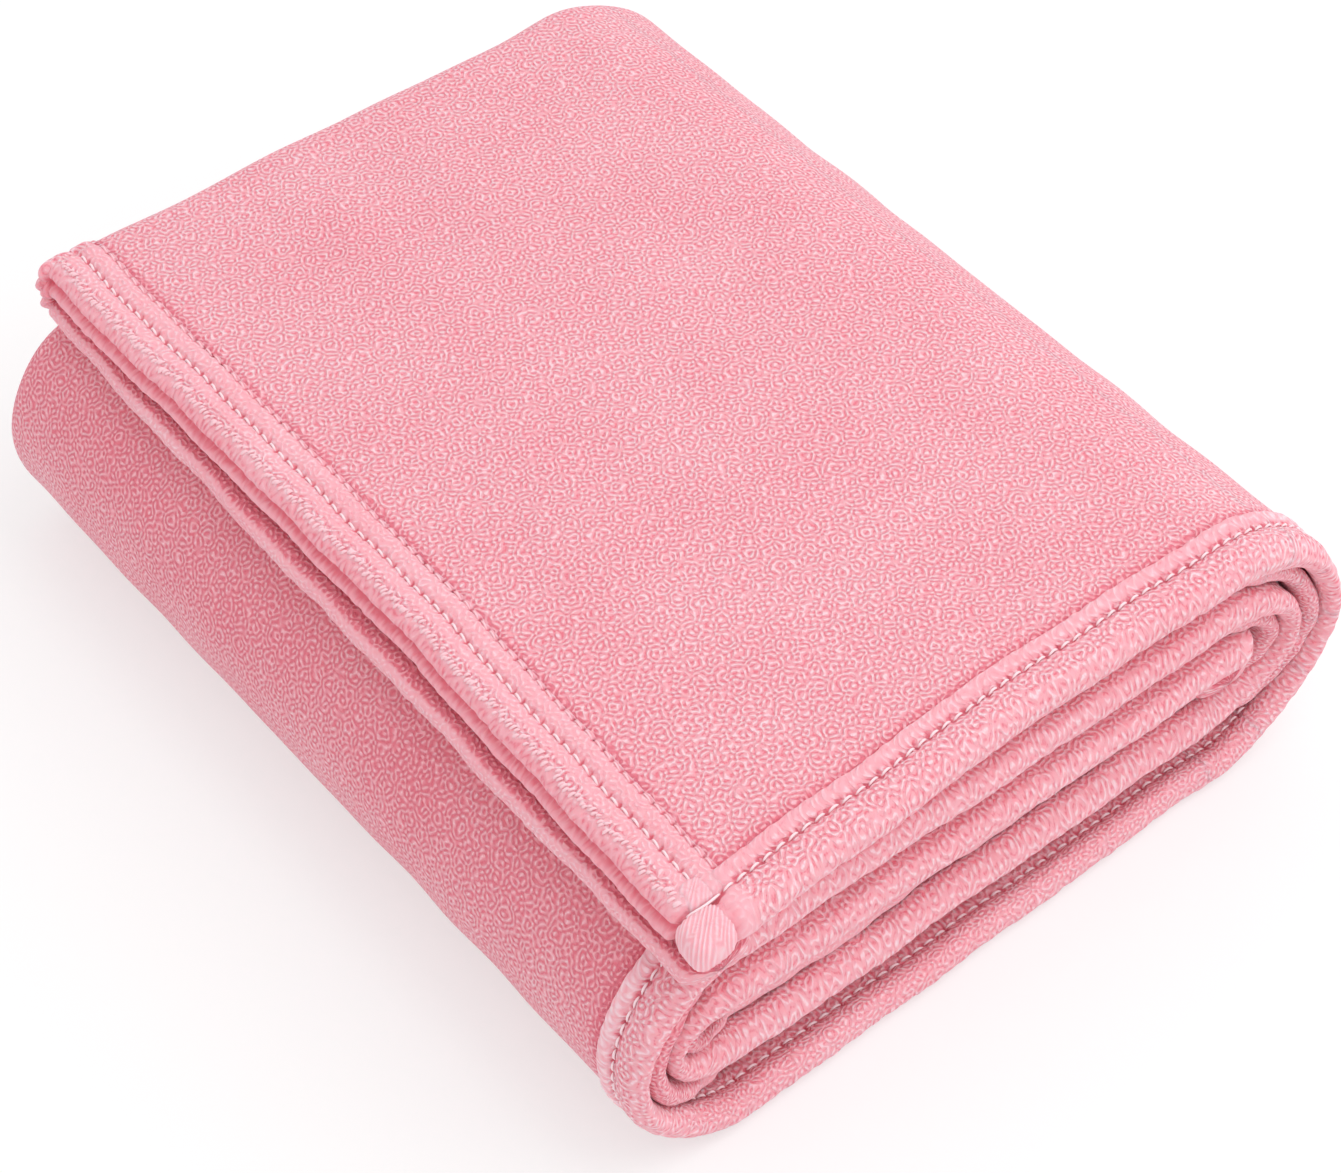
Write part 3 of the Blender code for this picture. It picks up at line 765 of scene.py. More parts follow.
# %% Hem sections
def smooth_loop(points, count):
    """Closed smooth curve through the points, a cubic between each two whose slopes follow the neighbours."""
    t = np.linspace(0.0, len(points), count, endpoint=False)
    i = t.astype(int)
    f = (t - i)[:, None]
    a, b, c, d = (np.take(points, i + k, axis=0, mode="wrap") for k in (-1, 0, 1, 2))
    return 0.5 * (2 * b + (c - a) * f + (2 * a - 5 * b + 4 * c - d) * f**2 + (3 * b - a - 3 * c + d) * f**3)


# Across from the rolled edge and depth below the outer face, in millimetres
SEAM_OUTSIDE = np.array([
    (13.9, 0.9), (13.7, -0.9), (12.6, -1.9), (10.4, -1.5), (8.8, -0.1), (7.7, -0.9), (5.8, -1.5), (3.7, -1.3),
    (1.6, 0.2), (0.2, 2.7), (0.1, 5.2), (1.2, 7.7), (3.4, 9.3), (6.0, 9.2), (8.2, 7.9), (9.6, 5.6),
    (11.0, 4.7), (13.9, 4.4)])
SEAM_INSIDE = np.array([
    (13.9, 0.3), (13.3, 0.0), (11.7, 0.0), (10.0, 0.0), (8.8, 0.0), (7.7, 0.0), (5.8, 0.0), (3.7, 0.1),
    (1.6, 1.0), (0.2, 3.0), (0.1, 5.2), (0.8, 7.1), (2.3, 8.4), (4.1, 8.6), (5.8, 8.0), (7.2, 7.0),
    (8.9, 7.3), (13.9, 5.4)])
HEM_POINTS = 76
OUTSIDE = smooth_loop(SEAM_OUTSIDE, HEM_POINTS) * MM
INSIDE = smooth_loop(SEAM_INSIDE, HEM_POINTS) * MM
SEAM_DEPTH_OUTSIDE = -0.2 * MM
SEAM_DEPTH_INSIDE = 7.2 * MM


def hem_section(r):
    """The section at every station: a mix of the two forms, flattened on top where a layer presses on it."""
    inside = r["inside"][:, None, None]
    section = OUTSIDE + (INSIDE - OUTSIDE) * inside
    lift, sink = r["proud"][:, None], (r["roll"] / FRONT_ROLL)[:, None]
    depth = section[..., 1] * np.where(section[..., 1] < 0.0, lift, sink)
    bulge = np.sin(math.pi * np.clip(section[..., 0] / HEM_WIDTH, 0.0, 1.0))
    across = section[..., 0] - r["forward"][:, None] * bulge
    return np.stack([across + r["front"][:, None], depth], axis=-1)


def needle_holes(s):
    """1 at each needle hole along a seam, falling off as a bell curve."""
    away = (s / STITCH_PITCH - np.round(s / STITCH_PITCH)) * STITCH_PITCH
    return np.exp(-((away / (0.4 * MM)) ** 2))


def near_seam(across, depth, row, row_depth, reach=1.1 * MM):
    """1 on a row of stitches, falling off as a bell curve across the hem."""
    return np.exp(-(((across - row) ** 2 + (depth - row_depth) ** 2) / reach**2))


# %% Room for the corner
THUMB, THUMB_DEPTH = 5.5 * MM, 4.9 * MM  # half the corner's thumb, along the front edge and away from it
FLAP_FRONT = FRONTS["flap"] + flap_bow(FLAP_EDGE)
CORNER_GROOVE = 0.5 * MM


def beside_thumb(points):
    """1 where the corner's thumb presses into the hems, as a bell curve over its square outline."""
    x = (points[..., X] - FLAP_EDGE - THUMB) / THUMB
    y = (points[..., Y] - FLAP_FRONT - THUMB_DEPTH) / THUMB_DEPTH
    return np.exp(-((((x**4 + y**4) ** 0.25 - 1.06) / 0.13) ** 2)) * (points[..., Z] > TOP - LAYER / 2)


# %% Front hem pieces
HEM_RELIEF = 0.09 * MM
HEM_LUMPS = 0.07 * MM
LUMP_SCALE = 3.4  # curls to one soft lump of a hem
HOLE_DEPTH = 0.5 * MM
PUFF = 0.22 * MM  # the hem swells by this between two needle holes
FLAP_DOME = 5.6 * MM  # the flap hem's rounded end reaches this far, up to the thumb
ARC_BOW = 1.3 * MM  # the curls on the ridge behind the seam bow by this


def drawn_out(across, depth, ridge, shoulder, edge, hidden=1.0):
    """How much of the pattern a step round the section takes: less where the curls are drawn out into lines.

    They are drawn out over the ridge behind the seam, over the rolled edge, and most of all below it, where
    hidden says how much that side faces down.
    """
    on_ridge = smooth((across - ridge) / MM) * (depth < 2.5 * MM)
    over_edge = smooth((shoulder - across) / (1.5 * MM))
    below = smooth((depth - edge) / (2.0 * MM)) * hidden
    share = 1.0 - 0.5 * on_ridge
    share = share + (0.5 - share) * over_edge
    return share + (0.25 - share) * below


def stretched(points, share):
    """Distance round each ring, each step counted by its share of the pattern."""
    step = np.diff(lengths_round(points).mean(axis=0))
    return np.concatenate([np.zeros((len(points), 1)), np.cumsum(step * share, axis=1)], axis=1)


def bowed(across, depth, ridge, width):
    """Shift along the hem that bows the curls on the ridge into arcs: a half sine over its width."""
    t = np.clip((across - ridge) / width, 0.0, 1.0)
    return ARC_BOW * np.sin(math.pi * t) * (depth < 2.5 * MM)


def front_hem(name, start, end, step=0.75 * MM, first=False, last=False):
    """The rolled hem between two distances: its section along the route, raised by curls and lumps."""
    s = stations(start, end, step, step)
    r = at(s)
    section = hem_section(r)
    points = carry(*front_frame(r), section)
    inside = r["inside"][:, None]
    across, depth = section[..., 0] - r["front"][:, None], section[..., 1]
    outer = near_seam(across, depth, SEAM, SEAM_DEPTH_OUTSIDE) * (1.0 - inside)
    inner = near_seam(across, depth, INNER_SEAM - r["forward"][:, None], SEAM_DEPTH_INSIDE) * inside
    seam = outer + inner
    holes = seam * needle_holes(s)[:, None]
    v = lengths_round(points).mean(axis=0)
    pile = curls(*np.broadcast_arrays(s[:, None] / LUMP_SCALE, v[None, :-1] / LUMP_SCALE))
    lumps = wander(s[:, None] + 0.3 * v[None, :-1], HEM_LUMPS, (0.0043, 0.0061, 0.0097), 11)
    puff = near_seam(across, depth, SEAM + 1.8 * MM, -1.4 * MM, 2.2 * MM) * (1.0 - inside)
    puff = puff * np.cos(2 * math.pi * (s / STITCH_PITCH - 0.5))[:, None]
    lift = HEM_RELIEF * pile * (1.0 - 0.8 * seam) + lumps + PUFF * puff - HOLE_DEPTH * holes
    settle = np.clip((points[..., Z] - 0.2 * MM) / MM, 0.0, 1.0)
    hidden = 0.5 - 0.5 * r["iz"][:, None]
    share = drawn_out(across, depth, SEAM + 0.8 * MM, 3.6 * MM, 7.2 * MM, hidden)
    share = share + (drawn_out(across, LAYER - depth, 1.0, 1.0 * MM, 12.0 * MM) - share) * inside
    v = stretched(points, share)
    shift = bowed(across, depth, SEAM, HEM_WIDTH - SEAM) * (1.0 - inside)
    points = points + outward_normals(points) * (lift * settle)[..., None]
    # Painted shade: the seam and its needle holes are painted darker, and the ridge behind the seam lighter,
    # as painted highlight.
    on_ridge = smooth((across - SEAM - 0.5 * MM) / MM) * (depth < 2.5 * MM) * (1.0 - inside)
    crease = np.clip(0.10 * seam + 0.6 * holes, 0.0, 1.0) - 0.15 * on_ridge
    bare = 0.75 * smooth((depth - 5.2 * MM) / (1.5 * MM)) * (1.0 - inside) * hidden * (1.0 - on_ridge)
    bare = np.maximum(bare, 0.55 * on_ridge)
    bare = np.maximum(bare, 0.25 * smooth((3.6 * MM - across) / (1.5 * MM)))
    if first or last:
        if first:
            bare = np.maximum(bare, 0.75 * smooth((s[0] + 5.0 * MM - s) / (3.0 * MM))[:, None])
        points = domed(points, CORE_DOME if last else FLAP_DOME, first=first, last=last)
        extra = len(points) - len(s)
        sides = ((extra * first, extra * last), (0, 0))
        crease, bare, v, shift = (np.pad(m, sides, mode="edge") for m in (crease, bare, v, shift))
        rim = np.linspace(0.5 * MM, 4.0 * MM, extra)
        s = np.concatenate([s[0] - rim[::-1], s]) if first else np.concatenate([s, s[-1] + rim])
    if first:
        # Painted shade in the groove where the thumb presses into the hem.
        groove = beside_thumb(points)
        crease = np.maximum(crease, 0.3 * groove)
        points = points - outward_normals(points) * (CORNER_GROOVE * groove)[..., None]
    shift = np.concatenate([shift, shift[:, :1]], axis=1)
    uv = np.stack([s[:, None] + shift, v], axis=-1)
    points = flared(points) if end <= CUTS[SLICES] else points
    made = piece(name, ring_mesh(name, points, uv, crease=crease, bare=bare), HEM)
    print(name, f"{len(s)} stations by {HEM_POINTS}")
    return made


HEMS = {"roll": front_hem("roll_hem", CUTS[0], END, last=True)}
for n in range(1, SLICES + 1):
    HEMS[f"fold_{n}"] = front_hem(f"fold_hem_{n}", CUTS[n], CUTS[n - 1])
HEMS["flap"] = front_hem("flap_front_hem", 0.0, CUTS[SLICES], first=True)

# %% [markdown]
# ## The end hem
# The sheet's short edge has the same rolled hem, but it lies across the layer's end: along the outer ply,
# round the back fold and forward again under it. Two rows of stitches hold it. Below the roll the section
# steps back into a ledge, where the gap between the plies shows. On the under ply it is pressed flat, and its
# edge runs out a little. Round the back fold the roll gathers into a few lumps, as thick cloth does.

# %% Route and section of an end hem
END_SECTION = np.array([
    (16.2, 0.8), (15.9, -0.3), (15.1, -0.3), (14.0, -1.2), (12.2, -1.5), (10.4, -1.1), (9.4, -0.2),
    (8.4, -0.9), (6.2, -1.5), (3.6, -1.3), (1.4, 0.1), (0.5, 1.7), (1.9, 3.5), (-0.4, 5.0),
    (-0.4, 6.8), (1.6, 7.9), (6.2, 6.9), (9.0, 5.2), (12.5, 4.6), (16.2, 4.4)])
END_SECTION_UNDER = np.array([
    (16.2, 0.8), (15.9, 0.1), (15.1, 0.0), (14.0, 0.0), (12.2, 0.0), (10.4, 0.0), (9.4, 0.0), (8.4, 0.0),
    (6.2, 0.0), (3.6, 0.1), (1.6, 0.5), (0.5, 1.4), (0.2, 2.6), (0.5, 3.9), (1.6, 4.9), (3.4, 5.3),
    (6.2, 5.3), (9.0, 5.0), (12.5, 4.6), (16.2, 4.4)])
END_POINTS = 80
END_OUTLINE = smooth_loop(END_SECTION, END_POINTS) * MM
END_UNDER = smooth_loop(END_SECTION_UNDER, END_POINTS) * MM
UNDER_BOW = 4.8 * MM  # the under ply's edge runs out by this along its middle
END_ROWS = (sum(span("flap_end_thread_1", X)) / 2 - FLAP_EDGE, 15.1 * MM)
END_ROW_DEPTHS = (-0.2 * MM, -0.3 * MM)
CORNER_SIZE = 12.0 * MM
END_WANDER = (0.3 * MM, (0.024, 0.047, 0.08), 22)  # amount, wavelengths and seed of its wander
UNDER_SETBACK = 4.5 * MM  # front edge to the under ply's rounded corner


def end_route(front, back, top, step, under_step):
    """Distance, y, z, inward and turn along a layer's end: back along the outer ply, round, forward below."""
    radius = LAYER / 2
    straight = back - radius - front - CORNER_SIZE
    under = back - radius - front - UNDER_SETBACK
    turned = straight + math.pi * radius
    t = np.concatenate([np.arange(0.0, turned, step), np.arange(turned, turned + under, under_step)])
    angle = np.clip((t - straight) / radius, 0.0, math.pi)
    y = np.minimum(front + CORNER_SIZE + t, back - radius) + radius * np.sin(angle)
    y = y - np.maximum(t - turned, 0.0)
    z = top - radius + radius * np.cos(angle)
    return t, y, z, -np.sin(angle), -np.cos(angle), angle


def end_frame(edge, side, y, z, inward_y, inward_z):
    """Origin, across and inward directions for a section in x and depth along an end hem."""
    zero = np.zeros_like(y)
    origin = np.stack([zero + edge, y, z], axis=-1)
    across = np.stack([zero + side, zero, zero], axis=-1)
    return origin, across, np.stack([zero, inward_y, inward_z], axis=-1)


# %% End hem pieces
BEND_LUMPS = 4
RECESS_DEPTH = 0.42  # painted shade: how dark the gap between the two plies and the strip under the roll are painted
LUMP = 0.75 * MM


def end_hem(name, front, back, edge, side, top, rows, proud, bow, step=0.5 * MM, under_step=1.2 * MM):
    """The rolled hem across a layer's end: its section carried round the ply, with curls, holes and lumps."""
    t, y, z, inward_y, inward_z, angle = end_route(front, back, top, step, under_step)
    lift_top = proud * (1.0 - smooth(angle / 1.6)) + HIDDEN * smooth(angle / 1.6)
    under = smooth(angle / math.pi)[:, None]
    section = END_OUTLINE + (END_UNDER - END_OUTLINE) * under[..., None]
    across, depth = section[..., 0], section[..., 1]
    depth = depth * np.where(depth < 0.0, lift_top[:, None], 1.0)
    forward = np.clip((back - LAYER / 2 - y) / (back - LAYER / 2 - front), 0.0, 1.0)[:, None]
    reach = bow * under * np.sin(math.pi * (0.1 + 0.8 * forward)) * (1.0 - across / END_OUTLINE[:, 0].max())
    moved = across - reach + wander(t, *END_WANDER)[:, None]
    points = carry(*end_frame(edge, side, y, z, inward_y, inward_z), np.stack([moved, depth], axis=-1))
    on_top = (1.0 - smooth(angle / 0.6))[:, None]
    seams = [near_seam(across, depth, row, d, 1.0 * MM) for row, d in zip(rows, END_ROW_DEPTHS)]
    seam = sum(seams) * on_top
    holes = seam * needle_holes(t)[:, None]
    v = lengths_round(points).mean(axis=0)
    pile = curls(*np.broadcast_arrays(t[:, None] / LUMP_SCALE, v[None, :-1] / LUMP_SCALE))
    lumps = wander(t[:, None] + 0.3 * v[None, :-1], HEM_LUMPS, (0.0041, 0.0057, 0.0093), 23)
    at_bend = smooth(np.sin(np.clip(angle, 0, math.pi)) * 2)[:, None]
    gather = at_bend * np.cos(2 * BEND_LUMPS * angle)[:, None] * LUMP
    lift = HEM_RELIEF * pile * (1.0 - 0.8 * seam) + lumps + gather - HOLE_DEPTH * holes
    share = drawn_out(across, depth, 1.0, 4.2 * MM, 3.4 * MM)
    v = stretched(points, share + (1.0 - share) * under)
    points = points + outward_normals(points) * lift[..., None]
    on_band = smooth((across - 5.0 * MM) / MM) * (depth < 1.5 * MM) * on_top
    bare = np.maximum(0.75 * smooth((depth - 3.4 * MM) / MM), 0.55 * on_band)
    bare = np.maximum(bare, 0.5 * smooth((4.2 * MM - across) / (1.5 * MM)))
    bare = np.maximum(bare, 0.75 * smooth((5.0 * MM - t) / (3.0 * MM))[:, None])
    # Painted shade: the rows of stitches and their needle holes are painted darker and the band beside them
    # lighter, as painted highlight. The flank of the roll, the strip under it and the gap between the plies
    # are painted darker too, where they lie in shade.
    crease = np.clip(0.10 * seam + 0.6 * holes, 0.0, 1.0) - 0.1 * on_band
    below_roll = np.exp(-(((depth - 3.6 * MM) / (0.9 * MM)) ** 2)) * (across < 3.0 * MM) * (1.0 - under)
    recess = under * smooth((depth - 3.8 * MM) / MM) * smooth((across - 0.8 * MM) / (1.5 * MM))
    flank = 0.15 * smooth((3.0 * MM - across) / (1.5 * MM)) * (1.0 - under)
    crease = crease + flank + RECESS_DEPTH * (0.8 * below_roll + recess)
    bare = bare * (1.0 - recess)
    points = domed(points, 3.0 * MM)
    extra = (len(points) - len(t)) // 2
    ends = np.linspace(0.5 * MM, 4.0 * MM, extra)
    t = np.concatenate([t[0] - ends[::-1], t, t[-1] + ends])
    crease, bare, v = (np.pad(m, ((extra, extra), (0, 0)), mode="edge") for m in (crease, bare, v))
    if side > 0:
        # Painted shade in the groove where the thumb presses into the hem.
        groove = beside_thumb(points)
        crease = np.maximum(crease, 0.3 * groove)
        points = flared(points - outward_normals(points) * (CORNER_GROOVE * groove)[..., None])
    uv = np.stack([t[:, None] + 0.0 * v, v], axis=-1)
    made = piece(name, ring_mesh(name, points, uv, crease=crease, bare=bare), HEM)
    print(name, f"{len(t)} stations by {END_POINTS}")
    return made


FLAP_END = end_hem("flap_end_hem_roll", FLAP_FRONT, BACKS["flap"], FLAP_EDGE, 1.0, TOP, END_ROWS, 0.9,
                   UNDER_BOW)
CORE_TOP = 2 * PITCH + LAYER
CORE_END = end_hem("core_end_hem_roll", FRONTS["third"], BACKS["third"], CORE_EDGE, -1.0, CORE_TOP,
                   END_ROWS[:1], HIDDEN, 0.0, 1.1 * MM)

# %% [markdown]
# ## Stitches
# A lockstitch shows as a row of short dashes, each sinking into a needle hole at both ends. One dash is a
# thin tube of a few dozen faces whose middle line is an arch. All dashes of a row are worked out at once as
# one array with four axes: stitch, ring, side and coordinate.


# %% Stitch helpers
STITCH_RINGS = 6
STITCH_SIDES = 6
STITCH_ARCH = 0.6 * MM


def dashes(name, line, across, up, width=THREAD, finish=SEWING):
    """Mesh of many tubes along line. line, across and up have the axes stitch, ring and coordinate."""
    rings = line.shape[1]
    t = np.linspace(-1.0, 1.0, rings)
    radius = width / 2 * np.sqrt(1.0 - 0.85 * t**6)
    angle = np.linspace(0.0, 2 * math.pi, STITCH_SIDES, endpoint=False)
    round_it = across[:, :, None] * np.cos(angle)[:, None] + up[:, :, None] * np.sin(angle)[:, None]
    points = line[:, :, None] + round_it * radius[None, :, None, None]
    count = len(points)
    faces, ends, facing_out = ring_faces(points[0])
    turn = slice(None) if facing_out else slice(None, None, -1)
    shift = (np.arange(count) * rings * STITCH_SIDES)[:, None, None]
    quads = (faces.reshape(-1, 4)[:, turn] + shift).reshape(-1, 4)
    caps = np.concatenate([(end[turn] + shift[:, 0]) for end in ends])
    mesh = bpy.data.meshes.new(name)
    mesh.from_pydata(points.reshape(-1, 3), [], quads.tolist() + caps.tolist())
    along = np.arange(count)[:, None, None] + t[None, :, None] / 2
    along = np.broadcast_to(along, points.shape[:3]) * STITCH_LENGTH
    turned = np.broadcast_to(angle * THREAD / 2, points.shape[:3])
    place = np.stack([along, turned], axis=-1).reshape(-1, 2)
    corner = np.zeros(len(mesh.loops), dtype=np.int32)
    mesh.loops.foreach_get("vertex_index", corner)
    mesh.uv_layers.new(name="cloth").data.foreach_set("uv", place[corner].ravel())
    mesh.shade_smooth()
    made = piece(name, mesh, finish)
    print(name, count, "stitches")
    return made


def stitch_grid(start, end):
    """Distances of every ring of every whole stitch between two places on a seam."""
    first = math.ceil(start / STITCH_PITCH - 0.5)
    last = math.floor(end / STITCH_PITCH - 0.5)
    middles = (np.arange(first, last + 1) + 0.5) * STITCH_PITCH
    return middles[:, None] + np.linspace(-0.5, 0.5, STITCH_RINGS) * STITCH_LENGTH


def arch():
    """Height of a dash above its seam: a cosine arch that dips under the cloth at both ends."""
    t = np.linspace(-0.5, 0.5, STITCH_RINGS)
    return STITCH_ARCH * (np.cos(math.pi * t) - 0.25)


SLANT = np.linspace(-0.16, 0.16, STITCH_RINGS) * MM


# %% Rows along the front hem
def front_stitches(name, start, end):
    """The dashes along the front hem between two distances, on whichever face the seam shows."""
    s = stitch_grid(start, end)
    r = at(s)
    showing = np.where(r["inside"] > 0.5, -1.0, 1.0)
    depth = np.where(r["inside"] > 0.5, SEAM_DEPTH_INSIDE, SEAM_DEPTH_OUTSIDE)
    depth = (depth - showing * arch()) * r["loft"]
    y = r["front"] + np.where(r["inside"] > 0.5, INNER_SEAM - r["forward"], SEAM) + SLANT
    line = np.stack([r["x"] + r["ix"] * depth, y, r["z"] + r["iz"] * depth], axis=-1)
    across = np.broadcast_to(np.array([0.0, 1.0, 0.0]), line.shape)
    up = np.stack([-r["ix"], np.zeros_like(y), -r["iz"]], axis=-1)
    line = flared(line) if end <= CUTS[SLICES] else line
    return dashes(name, line, across, up)


STITCHES = {"roll": front_stitches("roll_stitches", CUTS[0], END)}
for n in range(1, SLICES + 1):
    STITCHES[f"fold_{n}"] = front_stitches(f"fold_stitches_{n}", CUTS[n], CUTS[n - 1])
STITCHES["flap"] = front_stitches("flap_stitches", HEM_OVERLAP - MM, CUTS[SLICES])


# %% Rows along the end hems
def end_stitches(name, front, back, edge, side, top, row, row_depth, width=THREAD, finish=SEWING):
    """The dashes of one row along the upper face of an end hem."""
    t = stitch_grid(0.0, back - LAYER / 2 - front - CORNER_SIZE)
    y = front + CORNER_SIZE + t
    x = edge + side * (row + wander(t, *END_WANDER) + SLANT)
    z = top - row_depth + arch() + 0.0 * t
    line = np.stack([x, y, z], axis=-1)
    across = np.broadcast_to(np.array([1.0, 0.0, 0.0]), line.shape)
    up = np.broadcast_to(np.array([0.0, 0.0, 1.0]), line.shape)
    line = flared(line) if side > 0 else line
    return dashes(name, line, across, up, width, finish)


END_THREADS = ((THREAD, SEWING), (SOFT_THREAD, OVERLOCK))
END_STITCHES = [
    end_stitches(f"flap_end_stitches_{i + 1}", FLAP_FRONT, BACKS["flap"], FLAP_EDGE, 1.0, TOP,
                 END_ROWS[i], END_ROW_DEPTHS[i], *END_THREADS[i])
    for i in range(len(END_ROWS))
]
CORE_STITCHES = end_stitches("core_end_stitches", FRONTS["third"], BACKS["third"], CORE_EDGE, -1.0, CORE_TOP,
                             END_ROWS[0], END_ROW_DEPTHS[0])

# %% Loops over the end hem's shoulder
LOOP_PITCH = 1.0 * MM
LOOP_WIDTH = 0.85 * MM
LOOP_REACH = (4.4 * MM, 2.6 * MM)  # hem's edge to where a loop starts and ends
UPPER = END_OUTLINE[(END_OUTLINE[:, 1] < 2.3 * MM) & (END_OUTLINE[:, 0] < 8.0 * MM)]
UPPER = UPPER[np.argsort(UPPER[:, 0])]


def shoulder_loops(name, front, back, edge, top, proud):
    """Short loops of overlock thread, side by side over the shoulder, each a little off its place."""
    draw = np.random.default_rng(31)
    y = np.arange(front + CORNER_SIZE, back - LAYER / 2, LOOP_PITCH)
    y = y + draw.uniform(-0.35, 0.35, len(y)) * MM
    off = draw.uniform(-0.8, 0.8, len(y)) * MM
    spread = draw.uniform(0.55, 1.0, len(y))
    t = np.linspace(-0.5, 0.5, STITCH_RINGS)
    reach = sum(LOOP_REACH) / 2 + off[:, None] + (LOOP_REACH[1] - LOOP_REACH[0]) * spread[:, None] * t
    depth = np.interp(reach, UPPER[:, 0], UPPER[:, 1])
    depth = depth * np.where(depth < 0.0, proud, 1.0) - 0.22 * MM * np.cos(math.pi * t)
    moved = reach + wander(y - front - CORNER_SIZE, *END_WANDER)[:, None]
    lean = 0.5 * MM * t
    line = np.stack([edge + moved, y[:, None] + lean, top - depth], axis=-1)
    across = np.broadcast_to(np.array([0.0, 1.0, 0.0]), line.shape)
    up = np.broadcast_to(np.array([-0.5, 0.0, 0.87]), line.shape)
    return dashes(name, flared(line), across, up, LOOP_WIDTH, OVERLOCK)


FLAP_LOOPS = shoulder_loops("flap_end_loops", FLAP_FRONT, BACKS["flap"], FLAP_EDGE, TOP, 0.9)

# %% [markdown]
# ## The corner
# Where the two rolled hems meet, the cloth is folded over itself so often that it makes a hard little thumb.
# Its cloth is drawn into pleats that run from the crossing of the seams to the tip. The base form is a
# rounded box, and the pleats are one sine wave across that way, pushed to and fro by slower ones. A small
# square of the hem stands up at the crossing, and the front seam's last stitch passes between them.

# %% Pleated pillows
PLEAT = 0.9 * MM  # one pleat to the next
FAN = 5.0  # the pleats spread from a point this many half widths behind the pillow


def pillow(name, middle, half, deep, height, pleat, droop, bare):
    """A rounded box, by two angles with flattened sines, that droops to its tip and is rippled by pleats.

    The rings stand closer towards the two poles, so that their radii step evenly there. half is its half
    width, with a sign that says which way in x leads away from the tip, and deep is its half depth.
    """
    side, half = math.copysign(1.0, half), abs(half)
    share = np.linspace(-0.985, 0.985, 72)[:, None]
    rise = np.sign(share) * math.pi / 2 * (1.0 - (1.0 - np.abs(share)) ** 2)
    turn = np.linspace(0.0, 2 * math.pi, 200, endpoint=False)[None, :]

    def squared(wave, power):
        return np.sign(wave) * np.abs(wave) ** power

    x = squared(np.cos(rise), 0.5) * squared(np.cos(turn), 0.5) * half
    y = squared(np.cos(rise), 0.5) * squared(np.sin(turn), 0.5) * deep
    z = np.broadcast_to(squared(np.sin(rise), 0.75) * height / 2, x.shape)
    to_tip = -(side * x / half + y / deep) / 2
    points = np.stack([x, y, z - droop * smooth(0.5 + 0.5 * to_tip)], axis=-1)
    away_x, away_y = FAN * half - side * x, FAN * half - y
    over = (np.arctan2(away_y, away_x) - math.pi / 4) * FAN * half * math.sqrt(2.0)
    along = np.hypot(away_x, away_y) + z
    uneven = wander(over + 0.25 * along, 1.3, (2.9 * MM, 4.7 * MM, 8.3 * MM), 41)
    ripple = np.sin(2 * math.pi * over / PLEAT + uneven)
    fade = smooth(z / height + 0.75)
    points = points + outward_normals(points) * (pleat * ripple * fade)[..., None] + np.array(middle)
    points = flared(points) if side > 0 else points
    v = lengths_round(points).mean(axis=0)
    uv = np.stack(np.broadcast_arrays(np.linspace(0.0, height, len(rise))[:, None], v[None, :]), axis=-1)
    # Painted shade and painted highlight: the pleats are painted darker in their valleys and lighter on their
    # crests, and the whole pillow a little lighter.
    crease = -0.04 - 1.3 * pleat / MM * ripple * fade
    mesh = ring_mesh(name, points, uv, crease=crease, bare=np.full(crease.shape, bare))
    made = piece(name, mesh, HEM)
    print(name, f"{points.shape[0]} by {points.shape[1]}")
    return made


# %% Thumb, crossing and loop
THUMB_HEIGHT = 9.2 * MM
CROSSING = 3.3 * MM
CROSSING_PLACE = (8.2 * MM, 12.8 * MM)  # flap's free edge and front edge to the middle of the crossing
FLAP_KNOB = pillow("flap_corner_knob",
                   (FLAP_EDGE + THUMB, FLAP_FRONT + THUMB_DEPTH, TOP + 1.7 * MM - THUMB_HEIGHT / 2),
                   THUMB, THUMB_DEPTH, THUMB_HEIGHT, 0.11 * MM, 1.4 * MM, 0.9)
FLAP_CROSSING = pillow("flap_crossing",
                       (FLAP_EDGE + CROSSING_PLACE[0], FLAP_FRONT + CROSSING_PLACE[1], TOP - 0.2 * MM),
                       CROSSING, CROSSING, 4.2 * MM, 0.05 * MM, 0.4 * MM, 0.85)
CORE_KNOB = pillow("core_corner_knob", (CORE_EDGE - THUMB, FRONTS["third"] + 8.0 * MM, CORE_TOP - 5.4 * MM),
                   -THUMB, THUMB_DEPTH, 9.0 * MM, 0.10 * MM, 0.0, 0.4)


def corner_loop(name):
    """The front seam's last long stitch: an arch of thread over the end hem, along the thumb's inner edge."""
    t = np.linspace(0.0, 1.0, 28)
    x = FLAP_EDGE + 12.6 * MM - 8.6 * MM * t
    y = FLAP_FRONT + 9.7 * MM - 0.8 * MM * np.sin(math.pi * t)
    z = TOP - 0.1 * MM + 1.2 * MM * np.sin(math.pi * t) ** 0.6 - 0.5 * MM * t
    line = np.stack([x, y, z], axis=-1)
    across = np.broadcast_to(np.array([0.0, 1.0, 0.0]), line.shape)
    up = np.broadcast_to(np.array([0.0, 0.0, 1.0]), line.shape)
    return dashes(name, flared(line)[None], across[None], up[None], THREAD, SEWING)


FLAP_LOOP = corner_loop("flap_corner_loop")

# %% [markdown]
# ## What moves with what
# The flap folds open to the right in six small turns, so the right fold's skin has to bend. Here the roll's
# pieces and the core's end hem, thumb and stitches hang from the roll's body, and the flap's end hem, thumb,
# crossing, loops and end stitches from the flap's. The right fold's pieces and the flap's cloth, hem and
# stitches stay unattached, with their places baked in. The frame's solids that these replace are hidden.


